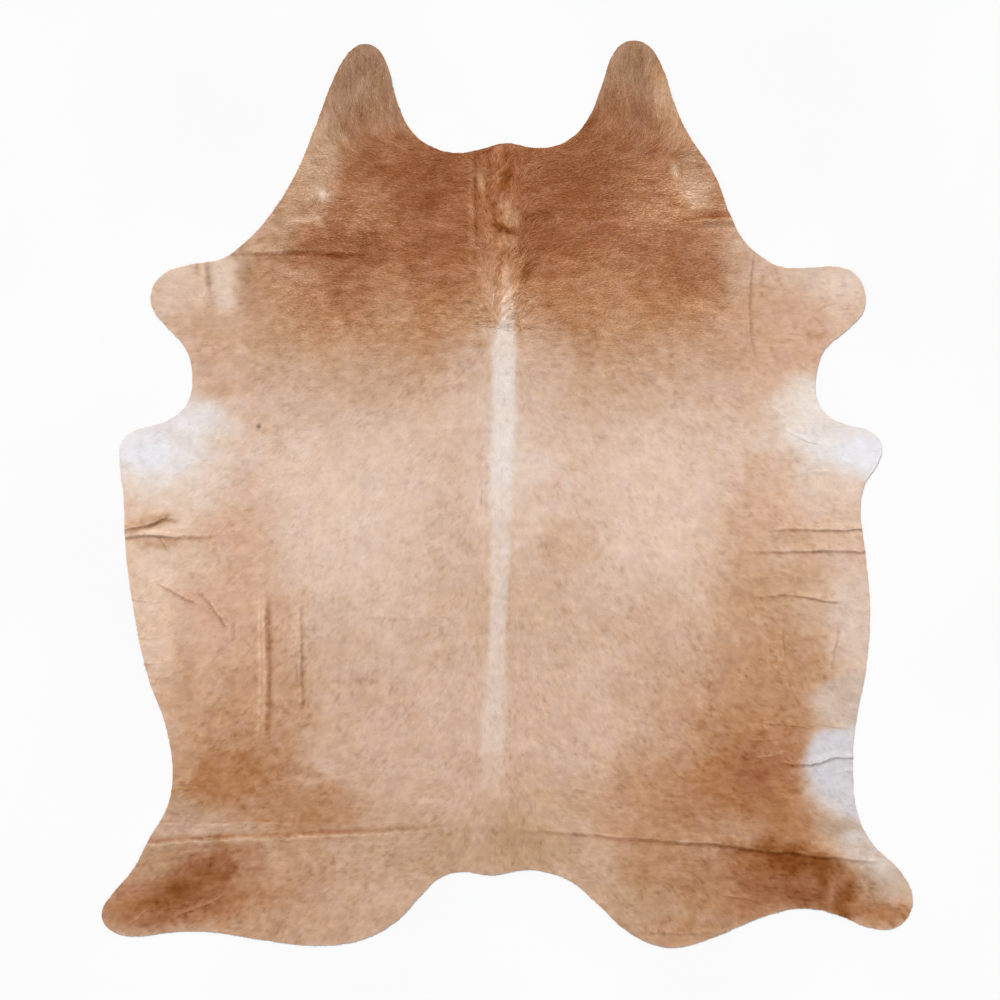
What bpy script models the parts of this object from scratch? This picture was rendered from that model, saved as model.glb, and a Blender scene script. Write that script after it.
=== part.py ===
"""A whole cowhide rug, lying flat on a floor with its packing folds still in it.

Metres, +Z up. The neck points along +Y and the tail along -Y. The origin is
under the middle of the hide's bounding box, on the floor.
"""
import math

import bmesh
import bpy
from mathutils import Vector

# Driving sizes of the rug.
HIDE_LENGTH = 2.270
HIDE_WIDTH = 2.030
HIDE_THICKNESS = 0.005

# How finely the sheet is cut: steps of the rim between two landmarks, the
# squares of the open field, and the closest that a cut comes to a corner.
RIM_STEPS = 5
FIELD_SQUARE = 0.050
CUT_SNAP = 0.004
DOUBLES_DISTANCE = 0.00001

# A groove stands between two low swells, this many times wider than itself.
SWELL_REACH = 3.0

# Rim landmarks, clockwise seen from above: the region of the hide, then its
# points as (across, along) from the middle of the hide.
RIM_REGIONS = (
    ("poll", (
        (-0.174, 0.866), (-0.119, 0.855), (-0.072, 0.861), (0.001, 0.879), (0.075, 0.867),
        (0.122, 0.872), (0.161, 0.890), (0.205, 0.938))),
    ("right ear", (
        (0.240, 1.024), (0.268, 1.102), (0.296, 1.130), (0.329, 1.135), (0.359, 1.121),
        (0.385, 1.085), (0.431, 0.954), (0.468, 0.884))),
    ("right side of the neck", (
        (0.520, 0.806), (0.566, 0.690), (0.595, 0.636), (0.636, 0.598), (0.684, 0.571))),
    ("right foreleg", (
        (0.760, 0.568), (0.828, 0.570), (0.873, 0.552), (0.898, 0.505), (0.893, 0.455),
        (0.852, 0.410), (0.798, 0.362), (0.777, 0.300))),
    ("right girth", (
        (0.778, 0.240), (0.802, 0.200), (0.850, 0.176), (0.912, 0.158), (0.940, 0.122),
        (0.928, 0.072), (0.898, 0.026))),
    ("right flank", (
        (0.887, -0.038), (0.899, -0.150), (0.910, -0.284), (0.899, -0.442), (0.873, -0.580),
        (0.867, -0.690), (0.880, -0.800))),
    ("right hind leg", (
        (0.917, -0.872), (0.988, -0.944), (1.016, -1.000), (1.008, -1.050), (0.972, -1.084),
        (0.910, -1.084), (0.830, -1.052), (0.760, -1.036), (0.690, -1.042))),
    ("right thigh", (
        (0.584, -1.080), (0.494, -1.117), (0.420, -1.134), (0.366, -1.125), (0.304, -1.093),
        (0.229, -1.025), (0.163, -0.968))),
    ("tail", (
        (0.105, -0.946), (0.052, -0.939), (-0.036, -0.953), (-0.110, -0.944), (-0.160, -0.957))),
    ("left thigh", (
        (-0.208, -1.001), (-0.265, -1.062), (-0.335, -1.105), (-0.410, -1.125), (-0.500, -1.127),
        (-0.620, -1.112), (-0.740, -1.094), (-0.835, -1.095))),
    ("left hind leg", (
        (-0.920, -1.105), (-0.970, -1.098), (-1.004, -1.070), (-1.006, -1.036), (-0.980, -0.997),
        (-0.928, -0.934), (-0.889, -0.859), (-0.844, -0.780))),
    ("left flank", (
        (-0.831, -0.706), (-0.848, -0.580), (-0.893, -0.455), (-0.929, -0.284), (-0.949, -0.127),
        (-0.953, -0.010), (-0.963, 0.080))),
    ("left girth", (
        (-0.958, 0.132), (-0.926, 0.160), (-0.880, 0.173), (-0.833, 0.191), (-0.794, 0.230),
        (-0.782, 0.300), (-0.798, 0.362))),
    ("left foreleg", (
        (-0.846, 0.418), (-0.881, 0.463), (-0.882, 0.514), (-0.850, 0.554), (-0.790, 0.574),
        (-0.702, 0.592))),
    ("left side of the neck", (
        (-0.654, 0.627), (-0.598, 0.685), (-0.524, 0.802), (-0.477, 0.914))),
    ("left ear", (
        (-0.444, 1.003), (-0.414, 1.071), (-0.383, 1.113), (-0.352, 1.127), (-0.317, 1.114),
        (-0.294, 1.075), (-0.268, 0.979), (-0.232, 0.908))),
)

# Folds, each a row: its name, its kind, its half width and the places that it
# runs through as (across, along, height). A fold whose last place lies beyond
# the rim, with some height left, runs out through the edge.
FOLDS = (
    ("rump fold, left", "groove", 0.012, (
        (-0.968, -0.880, 0.0070), (-0.752, -0.869, 0.0065), (-0.538, -0.853, 0.0060),
        (-0.368, -0.843, 0.0040), (-0.092, -0.845, 0.0))),
    ("rump fold, right", "ridge", 0.016, (
        (-0.025, -0.830, 0.0), (0.178, -0.848, 0.0030), (0.368, -0.865, 0.0045),
        (0.562, -0.883, 0.0055), (0.705, -0.898, 0.0065), (0.995, -0.910, 0.0050))),
    ("ridge above the rump fold", "ridge", 0.014, (
        (-0.930, -0.828, 0.0040), (-0.545, -0.823, 0.0035), (-0.318, -0.828, 0.0))),
    ("shoulder fold, left", "ridge", 0.018, (
        (-0.755, 0.598, 0.0030), (-0.542, 0.608, 0.0040), (-0.330, 0.612, 0.0))),
    ("shoulder fold, right", "groove", 0.012, (
        (0.432, 0.680, 0.0), (0.495, 0.685, 0.0055), (0.595, 0.690, 0.0070))),
    ("neck fold", "ridge", 0.020, (
        (-0.085, 0.885, 0.0045), (-0.085, 0.735, 0.0050), (-0.090, 0.590, 0.0))),
    ("left foreleg fold", "ridge", 0.018, (
        (-0.748, 0.622, 0.0055), (-0.750, 0.522, 0.0045), (-0.745, 0.430, 0.0))),
    ("right foreleg fold", "ridge", 0.012, (
        (0.620, 0.610, 0.0030), (0.610, 0.510, 0.0035), (0.610, 0.405, 0.0045),
        (0.625, 0.315, 0.0))),
    ("right foreleg, second fold", "ridge", 0.010, (
        (0.660, 0.580, 0.0035), (0.675, 0.530, 0.0035), (0.695, 0.485, 0.0))),
    ("left flank pucker, upper", "groove", 0.013, (
        (-0.980, -0.092, 0.0090), (-0.905, -0.078, 0.0085), (-0.862, -0.059, 0.0070),
        (-0.805, -0.060, 0.0))),
    ("left flank pucker, lower", "ridge", 0.012, (
        (-0.980, -0.112, 0.0070), (-0.855, -0.110, 0.0065), (-0.738, -0.100, 0.0))),
    ("left belly crease, outer", "ridge", 0.010, (
        (-0.898, -0.208, 0.0), (-0.842, -0.235, 0.0030), (-0.792, -0.270, 0.0))),
    ("left belly crease, inner", "ridge", 0.011, (
        (-0.768, -0.245, 0.0), (-0.728, -0.285, 0.0040), (-0.698, -0.328, 0.0035),
        (-0.672, -0.365, 0.0))),
    ("left thigh fold, outer", "groove", 0.011, (
        (-0.620, -0.240, 0.0), (-0.618, -0.365, 0.0050), (-0.608, -0.515, 0.0050),
        (-0.612, -0.628, 0.0))),
    ("left thigh fold, inner", "groove", 0.010, (
        (-0.522, -0.255, 0.0), (-0.515, -0.390, 0.0040), (-0.508, -0.540, 0.0))),
    ("left hock ridge", "ridge", 0.012, (
        (-0.855, -0.718, 0.0050), (-0.780, -0.715, 0.0040), (-0.705, -0.718, 0.0))),
    ("left foot ridge", "ridge", 0.012, (
        (-0.942, -1.080, 0.0030), (-0.892, -1.045, 0.0045), (-0.752, -1.032, 0.0035),
        (-0.648, -0.982, 0.0))),
    ("right flank pucker, upper", "groove", 0.011, (
        (0.638, -0.092, 0.0), (0.750, -0.088, 0.0060), (0.835, -0.092, 0.0070),
        (0.932, -0.088, 0.0085))),
    ("right flank pucker, lower", "groove", 0.012, (
        (0.572, -0.152, 0.0), (0.730, -0.146, 0.0060), (0.830, -0.146, 0.0070),
        (0.945, -0.140, 0.0085))),
    ("right belly crease", "groove", 0.010, (
        (0.688, -0.260, 0.0), (0.750, -0.266, 0.0050), (0.808, -0.270, 0.0))),
    ("right hock fold", "ridge", 0.018, (
        (0.620, -0.602, 0.0), (0.720, -0.658, 0.0045), (0.908, -0.672, 0.0055))),
    ("right thigh lobe ridge", "ridge", 0.012, (
        (0.300, -1.096, 0.0035), (0.432, -1.095, 0.0045), (0.558, -1.092, 0.0040))),
    ("right hind pleat, inner", "ridge", 0.010, (
        (0.768, -1.052, 0.0050), (0.770, -0.975, 0.0))),
    ("right hind pleat, outer", "ridge", 0.011, (
        (0.815, -1.060, 0.0050), (0.812, -0.985, 0.0))),
)

# Colour, roughness and metal of the coat.
COAT_COLOUR = (0.546, 0.330, 0.194, 1.0)
COAT_ROUGHNESS = 0.78
COAT_METALLIC = 0.0


def clear_objects():
    """Empty the file of whatever it holds."""
    for old in list(bpy.data.objects):
        bpy.data.objects.remove(old, do_unlink=True)


def rug_collection():
    """The collection that holds the rug."""
    collection = bpy.data.collections.new("cowhide_rug")
    bpy.context.scene.collection.children.link(collection)
    return collection


def coat_material():
    """Short tan hair, matt."""
    material = bpy.data.materials.new("cowhide_coat")
    material.use_nodes = True
    shader = material.node_tree.nodes["Principled BSDF"]
    shader.inputs["Base Color"].default_value = COAT_COLOUR
    shader.inputs["Roughness"].default_value = COAT_ROUGHNESS
    shader.inputs["Metallic"].default_value = COAT_METALLIC
    return material


def rim_curve(collection):
    """The cut edge as one closed smooth curve, filled flat."""
    points = [point for _, region in RIM_REGIONS for point in region]
    curve = bpy.data.curves.new("rim", "CURVE")
    curve.dimensions = "2D"
    curve.fill_mode = "BOTH"
    curve.resolution_u = RIM_STEPS
    spline = curve.splines.new("BEZIER")
    spline.bezier_points.add(len(points) - 1)
    spline.use_cyclic_u = True
    for bezier, (across, along) in zip(spline.bezier_points, points):
        bezier.co = (across, along, 0.0)
        bezier.handle_left_type = "AUTO"
        bezier.handle_right_type = "AUTO"
    outline = bpy.data.objects.new("rim", curve)
    collection.objects.link(outline)
    return outline


def flat_hide(outline):
    """The filled curve as a single flat face, looking up."""
    bpy.context.view_layer.update()
    evaluated = outline.evaluated_get(bpy.context.evaluated_depsgraph_get())
    filled = bpy.data.meshes.new_from_object(evaluated)
    sheet = bmesh.new()
    sheet.from_mesh(filled)
    bpy.data.meshes.remove(filled)
    bmesh.ops.remove_doubles(sheet, verts=sheet.verts, dist=DOUBLES_DISTANCE)
    bmesh.ops.dissolve_faces(sheet, faces=sheet.faces, use_verts=False)
    if sheet.faces[:][0].normal.z < 0:
        bmesh.ops.reverse_faces(sheet, faces=sheet.faces)
    return sheet


def fit_to_size(sheet):
    """Centre the outline on the origin and bring it to the hide's width and length."""
    across = [corner.co.x for corner in sheet.verts]
    along = [corner.co.y for corner in sheet.verts]
    middle = Vector(((max(across) + min(across)) / 2, (max(along) + min(along)) / 2, 0))
    bmesh.ops.translate(sheet, verts=sheet.verts, vec=-middle)
    widen = HIDE_WIDTH / (max(across) - min(across))
    lengthen = HIDE_LENGTH / (max(along) - min(along))
    bmesh.ops.scale(sheet, verts=sheet.verts, vec=(widen, lengthen, 1))


def cut(sheet, faces, place, across):
    """Split some faces of the sheet on one straight upright plane."""
    edges = {edge for face in faces for edge in face.edges}
    corners = {corner for face in faces for corner in face.verts}
    geometry = list(faces) + list(edges) + list(corners)
    bmesh.ops.bisect_plane(sheet, geom=geometry, dist=CUT_SNAP, plane_co=place, plane_no=across)


def cut_field(sheet):
    """Divide the whole hide into squares."""
    for size, across in ((HIDE_WIDTH, Vector((1, 0, 0))), (HIDE_LENGTH, Vector((0, 1, 0)))):
        squares = math.ceil(size / FIELD_SQUARE)
        for line in range(1, squares):
            place = across * (size * (line / squares - 0.5))
            cut(sheet, sheet.faces[:], place, across)


def along_stretch(place, start, end):
    """How far along a stretch of fold a place lies, and how far off to its side."""
    run = end - start
    share = (place - start).dot(run) / run.length_squared
    share = min(max(share, 0.0), 1.0)
    return share, (place - (start + run * share)).length


def stretches(places):
    """The straight stretches of one fold, with the height at both ends."""
    for first, second in zip(places, places[1:]):
        start = Vector((first[0], first[1], 0))
        end = Vector((second[0], second[1], 0))
        yield start, end, first[2], second[2]


def cut_folds(sheet):
    """Add the lines on which each fold bends: its middle and its feet."""
    for _, kind, half_width, places in FOLDS:
        offsets = (-half_width, 0.0, half_width)
        if kind == "groove":
            offsets = (-SWELL_REACH * half_width, *offsets, SWELL_REACH * half_width)
        for start, end, _, _ in stretches(places):
            run = (end - start).normalized()
            across = Vector((-run.y, run.x, 0))
            reach = half_width * SWELL_REACH + FIELD_SQUARE / 2
            for offset in offsets:
                faces = [face for face in sheet.faces
                         if along_stretch(face.calc_center_median(), start, end)[1] < reach]
                cut(sheet, faces, start + across * offset, across)


def hump(distance, half_width):
    """A soft hump, one high in the middle and nothing at its feet."""
    if distance >= half_width:
        return 0.0
    return math.cos(math.pi * distance / (2 * half_width)) ** 2


def fold_height(place, fold):
    """How far one fold lifts a place of the hide off the floor."""
    _, kind, half_width, places = fold
    lift = 0.0
    for start, end, first_height, second_height in stretches(places):
        share, distance = along_stretch(place, start, end)
        height = first_height + (second_height - first_height) * share
        shape = hump(distance, half_width)
        if kind == "groove":
            shape = hump(distance, half_width * SWELL_REACH) - shape
        lift = max(lift, height * shape)
    return lift


def lift_folds(sheet):
    """Raise the sheet where its folds stand off the floor."""
    for corner in sheet.verts:
        place = Vector((corner.co.x, corner.co.y, 0))
        corner.co.z = max(fold_height(place, fold) for fold in FOLDS)


def build_hide(collection):
    """The hide: one uneven sheet with hair on its upper side."""
    outline = rim_curve(collection)
    sheet = flat_hide(outline)
    bpy.data.objects.remove(outline, do_unlink=True)
    fit_to_size(sheet)
    cut_field(sheet)
    cut_folds(sheet)
    lift_folds(sheet)
    mesh = bpy.data.meshes.new("hide")
    sheet.to_mesh(mesh)
    sheet.free()
    mesh.materials.append(coat_material())
    mesh.shade_smooth()
    hide = bpy.data.objects.new("hide", mesh)
    collection.objects.link(hide)
    body = hide.modifiers.new("thickness", "SOLIDIFY")
    body.thickness = HIDE_THICKNESS
    body.offset = 1.0
    return hide


def main():
    clear_objects()
    build_hide(rug_collection())


main()
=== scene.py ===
# %% [markdown]
# A whole cowhide rug, dressed for its picture.
# The real rug is one skin, tanned with its hair on and trimmed to its natural
# outline: two ears at the neck, four legs, the flanks and the notch of the tail.
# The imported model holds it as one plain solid. This lesson lays a thin sheet of
# leather on that solid's folds, plants a coat of short hair on it, and lights it.
# The solid stays underneath as the thing that rests and collides.

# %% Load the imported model
import math

import bmesh
import bpy
import numpy as np
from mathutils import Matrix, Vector


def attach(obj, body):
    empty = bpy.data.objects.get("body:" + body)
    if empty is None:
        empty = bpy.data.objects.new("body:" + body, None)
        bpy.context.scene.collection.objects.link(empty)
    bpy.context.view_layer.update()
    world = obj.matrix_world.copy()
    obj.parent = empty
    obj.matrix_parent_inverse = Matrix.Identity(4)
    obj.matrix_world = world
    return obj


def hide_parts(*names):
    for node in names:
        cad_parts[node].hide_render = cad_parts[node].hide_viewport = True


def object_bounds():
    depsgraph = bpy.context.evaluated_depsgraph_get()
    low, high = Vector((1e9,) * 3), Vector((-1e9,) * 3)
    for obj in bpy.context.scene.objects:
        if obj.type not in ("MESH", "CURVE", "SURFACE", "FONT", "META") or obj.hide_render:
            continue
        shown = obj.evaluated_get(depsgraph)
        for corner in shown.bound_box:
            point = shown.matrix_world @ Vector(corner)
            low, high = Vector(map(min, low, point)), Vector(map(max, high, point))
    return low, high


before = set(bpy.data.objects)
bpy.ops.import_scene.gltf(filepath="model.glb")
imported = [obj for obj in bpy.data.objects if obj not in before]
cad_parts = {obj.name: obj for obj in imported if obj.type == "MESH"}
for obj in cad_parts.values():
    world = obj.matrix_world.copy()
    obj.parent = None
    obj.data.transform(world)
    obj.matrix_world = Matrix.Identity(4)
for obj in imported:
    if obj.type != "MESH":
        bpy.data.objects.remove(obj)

cad_low, cad_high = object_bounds()
HIDE_WIDTH = cad_high.x - cad_low.x
HIDE_LENGTH = cad_high.y - cad_low.y
print(f"the solid is {HIDE_WIDTH:.3f} m wide, {HIDE_LENGTH:.3f} m long")

# %% [markdown]
# Noise in plain Python.
# A hide is uneven everywhere: its tones wander, its creases waver and no two
# locks are alike. Blender's noise nodes only colour a surface, and this noise
# also has to move points, so it is made here. It is value noise: random heights
# on a lattice, blended smoothly in between. Every call names its seed, so each
# run gives the same rug.

# %% Smooth noise
LATTICE = 256


def ease(share):
    """A smooth step: 0 below 0, 1 above 1."""
    share = np.clip(share, 0, 1)
    return share * share * (3 - 2 * share)


def blend(first, second, share):
    """Part of the way from one value to another."""
    return first + (second - first) * share


def cloud(x, y, size, seed):
    """Smooth noise from -1 to 1 whose lumps are about size across."""
    lattice = np.random.default_rng(seed).random((LATTICE, LATTICE)) * 2 - 1
    column = np.floor(x / size).astype(int)
    row = np.floor(y / size).astype(int)
    right = ease(x / size - column)
    up = ease(y / size - row)
    column, next_column = column % LATTICE, (column + 1) % LATTICE
    row, next_row = row % LATTICE, (row + 1) % LATTICE
    low = blend(lattice[column, row], lattice[next_column, row], right)
    high = blend(lattice[column, next_row], lattice[next_column, next_row], right)
    return blend(low, high, up)


def clouds(x, y, layers, seed=0):
    """Layers of noise in one, each as its size, its strength and its own seed."""
    return sum(strength * cloud(x, y, size, seed + own) for size, strength, own in layers)


sample = cloud(*np.random.default_rng(1).random((2, 1000)), 0.05, 1)
print(f"the noise runs from {sample.min():.2f} to {sample.max():.2f}")

# %% [markdown]
# Charts of the hide.
# Hundreds of thousands of hairs ask the same questions: how high is the leather
# here, how far is the edge, what colour is the coat? Working each answer out
# hair by hair is slow. A chart works it out once on an even grid over the hide,
# as a map does, and every hair then reads the map between its lines.

# %% The chart
CHART_MARGIN = 0.040
# A chart is read to just short of its last line, which has none beyond it
LAST_LINE = 1.001


class Chart:
    """Values on an even grid over the hide, read smoothly between its lines."""

    def __init__(self, square, depth=1):
        self.square = square
        across = np.arange(cad_low.x - CHART_MARGIN, cad_high.x + CHART_MARGIN, square)
        along = np.arange(cad_low.y - CHART_MARGIN, cad_high.y + CHART_MARGIN, square)
        self.left, self.bottom = across[0], along[0]
        self.x, self.y = np.meshgrid(across, along)
        self.values = np.zeros((*self.x.shape, depth))

    def window(self, left, bottom, right, top):
        """The rows and columns inside a box."""
        rows, columns = self.x.shape
        first = min(max(int((left - self.left) / self.square), 0), columns)
        last = min(max(int((right - self.left) / self.square) + 2, 0), columns)
        low = min(max(int((bottom - self.bottom) / self.square), 0), rows)
        high = min(max(int((top - self.bottom) / self.square) + 2, 0), rows)
        return slice(low, high), slice(first, last)

    def read(self, x, y):
        """The value at each place."""
        rows, columns = self.x.shape
        column = np.clip((x - self.left) / self.square, 0, columns - LAST_LINE)
        row = np.clip((y - self.bottom) / self.square, 0, rows - LAST_LINE)
        first = column.astype(int)
        low = row.astype(int)
        right = (column - first)[..., None]
        up = (row - low)[..., None]
        near = self.values[low, first] * (1 - right) + self.values[low, first + 1] * right
        far = self.values[low + 1, first] * (1 - right) + self.values[low + 1, first + 1] * right
        value = near * (1 - up) + far * up
        return value[..., 0] if self.values.shape[-1] == 1 else value


# %% [markdown]
# The folds and creases.
# A hide is folded for its journey and keeps the marks: a long fold across the
# rump, puckers at the flanks, and short creases where the legs were bent. A
# cloth simulation would invent its own. These are known, so each is listed as
# one of three kinds. A ridge is an even hump. A groove lies between two low
# swells. A pleat climbs gently and drops steeply on the right of its run, as
# leather does where it has been pressed over. The wide ones stand in the solid
# too; the narrow ones are only here. A little noise bends each line and varies
# its height, because no crease in leather is ruled. A painted highlight runs
# along the top of a fold. Painted shade, with the darker roots of the hair
# parted there, lies in the foot of a pleat or groove. Both are charted with
# the heights.

# %% Folds, as name, kind, half width, how strongly marked, and places (across, along, height)
FOLDS = (
    ("rump fold, left", "pleat", 0.016, 0.90, (
        (-0.092, -0.836, 0.0), (-0.318, -0.848, 0.0012), (-0.538, -0.858, 0.0022),
        (-0.752, -0.868, 0.0028), (-0.968, -0.881, 0.0032))),
    ("rump fold, right", "pleat", 0.014, 0.62, (
        (-0.025, -0.830, 0.0), (0.178, -0.846, 0.0016), (0.368, -0.860, 0.0028),
        (0.562, -0.878, 0.0038), (0.705, -0.893, 0.0045), (0.860, -0.909, 0.0040),
        (0.940, -0.913, 0.0))),
    ("step above the rump fold", "pleat", 0.010, 0.40, (
        (-0.318, -0.828, 0.0), (-0.545, -0.823, 0.0012), (-0.930, -0.826, 0.0016))),
    ("shoulder fold, left", "pleat", 0.018, 0.62, (
        (-0.755, 0.606, 0.0012), (-0.542, 0.610, 0.0019), (-0.440, 0.609, 0.0017),
        (-0.330, 0.607, 0.0))),
    ("shoulder fold, right", "pleat", 0.012, 1.00, (
        (0.600, 0.689, 0.0058), (0.520, 0.685, 0.0050), (0.432, 0.679, 0.0))),
    ("neck fold", "pleat", 0.012, 0.30, (
        (-0.088, 0.440, 0.0), (-0.086, 0.590, 0.0012), (-0.085, 0.735, 0.0020),
        (-0.085, 0.885, 0.0020))),
    ("left foreleg fold", "ridge", 0.018, 0.0, (
        (-0.748, 0.622, 0.0030), (-0.750, 0.522, 0.0026), (-0.745, 0.430, 0.0))),
    ("right foreleg fold", "pleat", 0.009, 0.50, (
        (0.622, 0.325, 0.0), (0.606, 0.400, 0.0030), (0.602, 0.470, 0.0028),
        (0.606, 0.530, 0.0022), (0.615, 0.608, 0.0020))),
    ("right foreleg, second fold", "pleat", 0.010, 0.20, (
        (0.695, 0.485, 0.0), (0.675, 0.530, 0.0016), (0.660, 0.580, 0.0018))),
    ("left flank pucker, upper", "pleat", 0.015, 0.85, (
        (-0.980, -0.090, 0.0040), (-0.925, -0.084, 0.0052), (-0.885, -0.072, 0.0056),
        (-0.858, -0.058, 0.0038), (-0.815, -0.062, 0.0))),
    ("left flank pucker, lower", "pleat", 0.013, 0.85, (
        (-0.980, -0.108, 0.0048), (-0.915, -0.102, 0.0052), (-0.855, -0.103, 0.0046),
        (-0.800, -0.100, 0.0026), (-0.725, -0.100, 0.0))),
    ("left belly crease, outer", "pleat", 0.009, 0.85, (
        (-0.884, -0.212, 0.0), (-0.842, -0.236, 0.0022), (-0.790, -0.266, 0.0018),
        (-0.768, -0.282, 0.0))),
    ("left belly crease, inner", "pleat", 0.009, 1.00, (
        (-0.770, -0.243, 0.0), (-0.738, -0.276, 0.0028), (-0.714, -0.310, 0.0028),
        (-0.694, -0.338, 0.0))),
    ("left thigh fold, outer", "pleat", 0.020, 0.80, (
        (-0.611, -0.628, 0.0), (-0.606, -0.515, 0.0030), (-0.606, -0.400, 0.0032),
        (-0.608, -0.300, 0.0020), (-0.610, -0.235, 0.0))),
    ("left thigh fold, inner", "pleat", 0.012, 0.60, (
        (-0.513, -0.560, 0.0), (-0.518, -0.470, 0.0026), (-0.520, -0.390, 0.0030),
        (-0.524, -0.255, 0.0))),
    ("left hock ridge", "ridge", 0.009, 0.40, (
        (-0.855, -0.723, 0.0024), (-0.780, -0.723, 0.0020), (-0.705, -0.726, 0.0))),
    ("left foot ridge", "ridge", 0.007, 0.60, (
        (-0.850, -1.070, 0.0), (-0.810, -1.045, 0.0014), (-0.752, -1.022, 0.0016),
        (-0.690, -0.995, 0.0))),
    ("right flank pucker, upper", "pleat", 0.010, 0.70, (
        (0.638, -0.087, 0.0), (0.750, -0.087, 0.0026), (0.835, -0.088, 0.0034),
        (0.932, -0.086, 0.0038))),
    ("right flank pucker, lower", "pleat", 0.010, 0.70, (
        (0.572, -0.142, 0.0), (0.730, -0.140, 0.0022), (0.770, -0.138, 0.0034),
        (0.830, -0.141, 0.0036), (0.945, -0.140, 0.0034))),
    ("right belly crease", "pleat", 0.009, 0.75, (
        (0.582, -0.252, 0.0), (0.688, -0.250, 0.0014), (0.750, -0.255, 0.0034),
        (0.808, -0.264, 0.0030), (0.838, -0.262, 0.0))),
    ("right hock fold", "pleat", 0.009, 0.75, (
        (0.670, -0.662, 0.0), (0.708, -0.672, 0.0016), (0.758, -0.672, 0.0024),
        (0.812, -0.659, 0.0034), (0.880, -0.654, 0.0034))),
    ("right thigh lobe ridge", "ridge", 0.010, 0.30, (
        (0.300, -1.096, 0.0018), (0.432, -1.095, 0.0022), (0.558, -1.092, 0.0020))),
    ("right hind pleat, inner", "pleat", 0.012, 0.10, (
        (0.768, -1.052, 0.0014), (0.780, -1.010, 0.0014), (0.770, -0.965, 0.0))),
    ("right hind pleat, outer", "pleat", 0.012, 0.10, (
        (0.838, -1.072, 0.0014), (0.842, -1.030, 0.0014), (0.832, -0.975, 0.0))),
)

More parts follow.
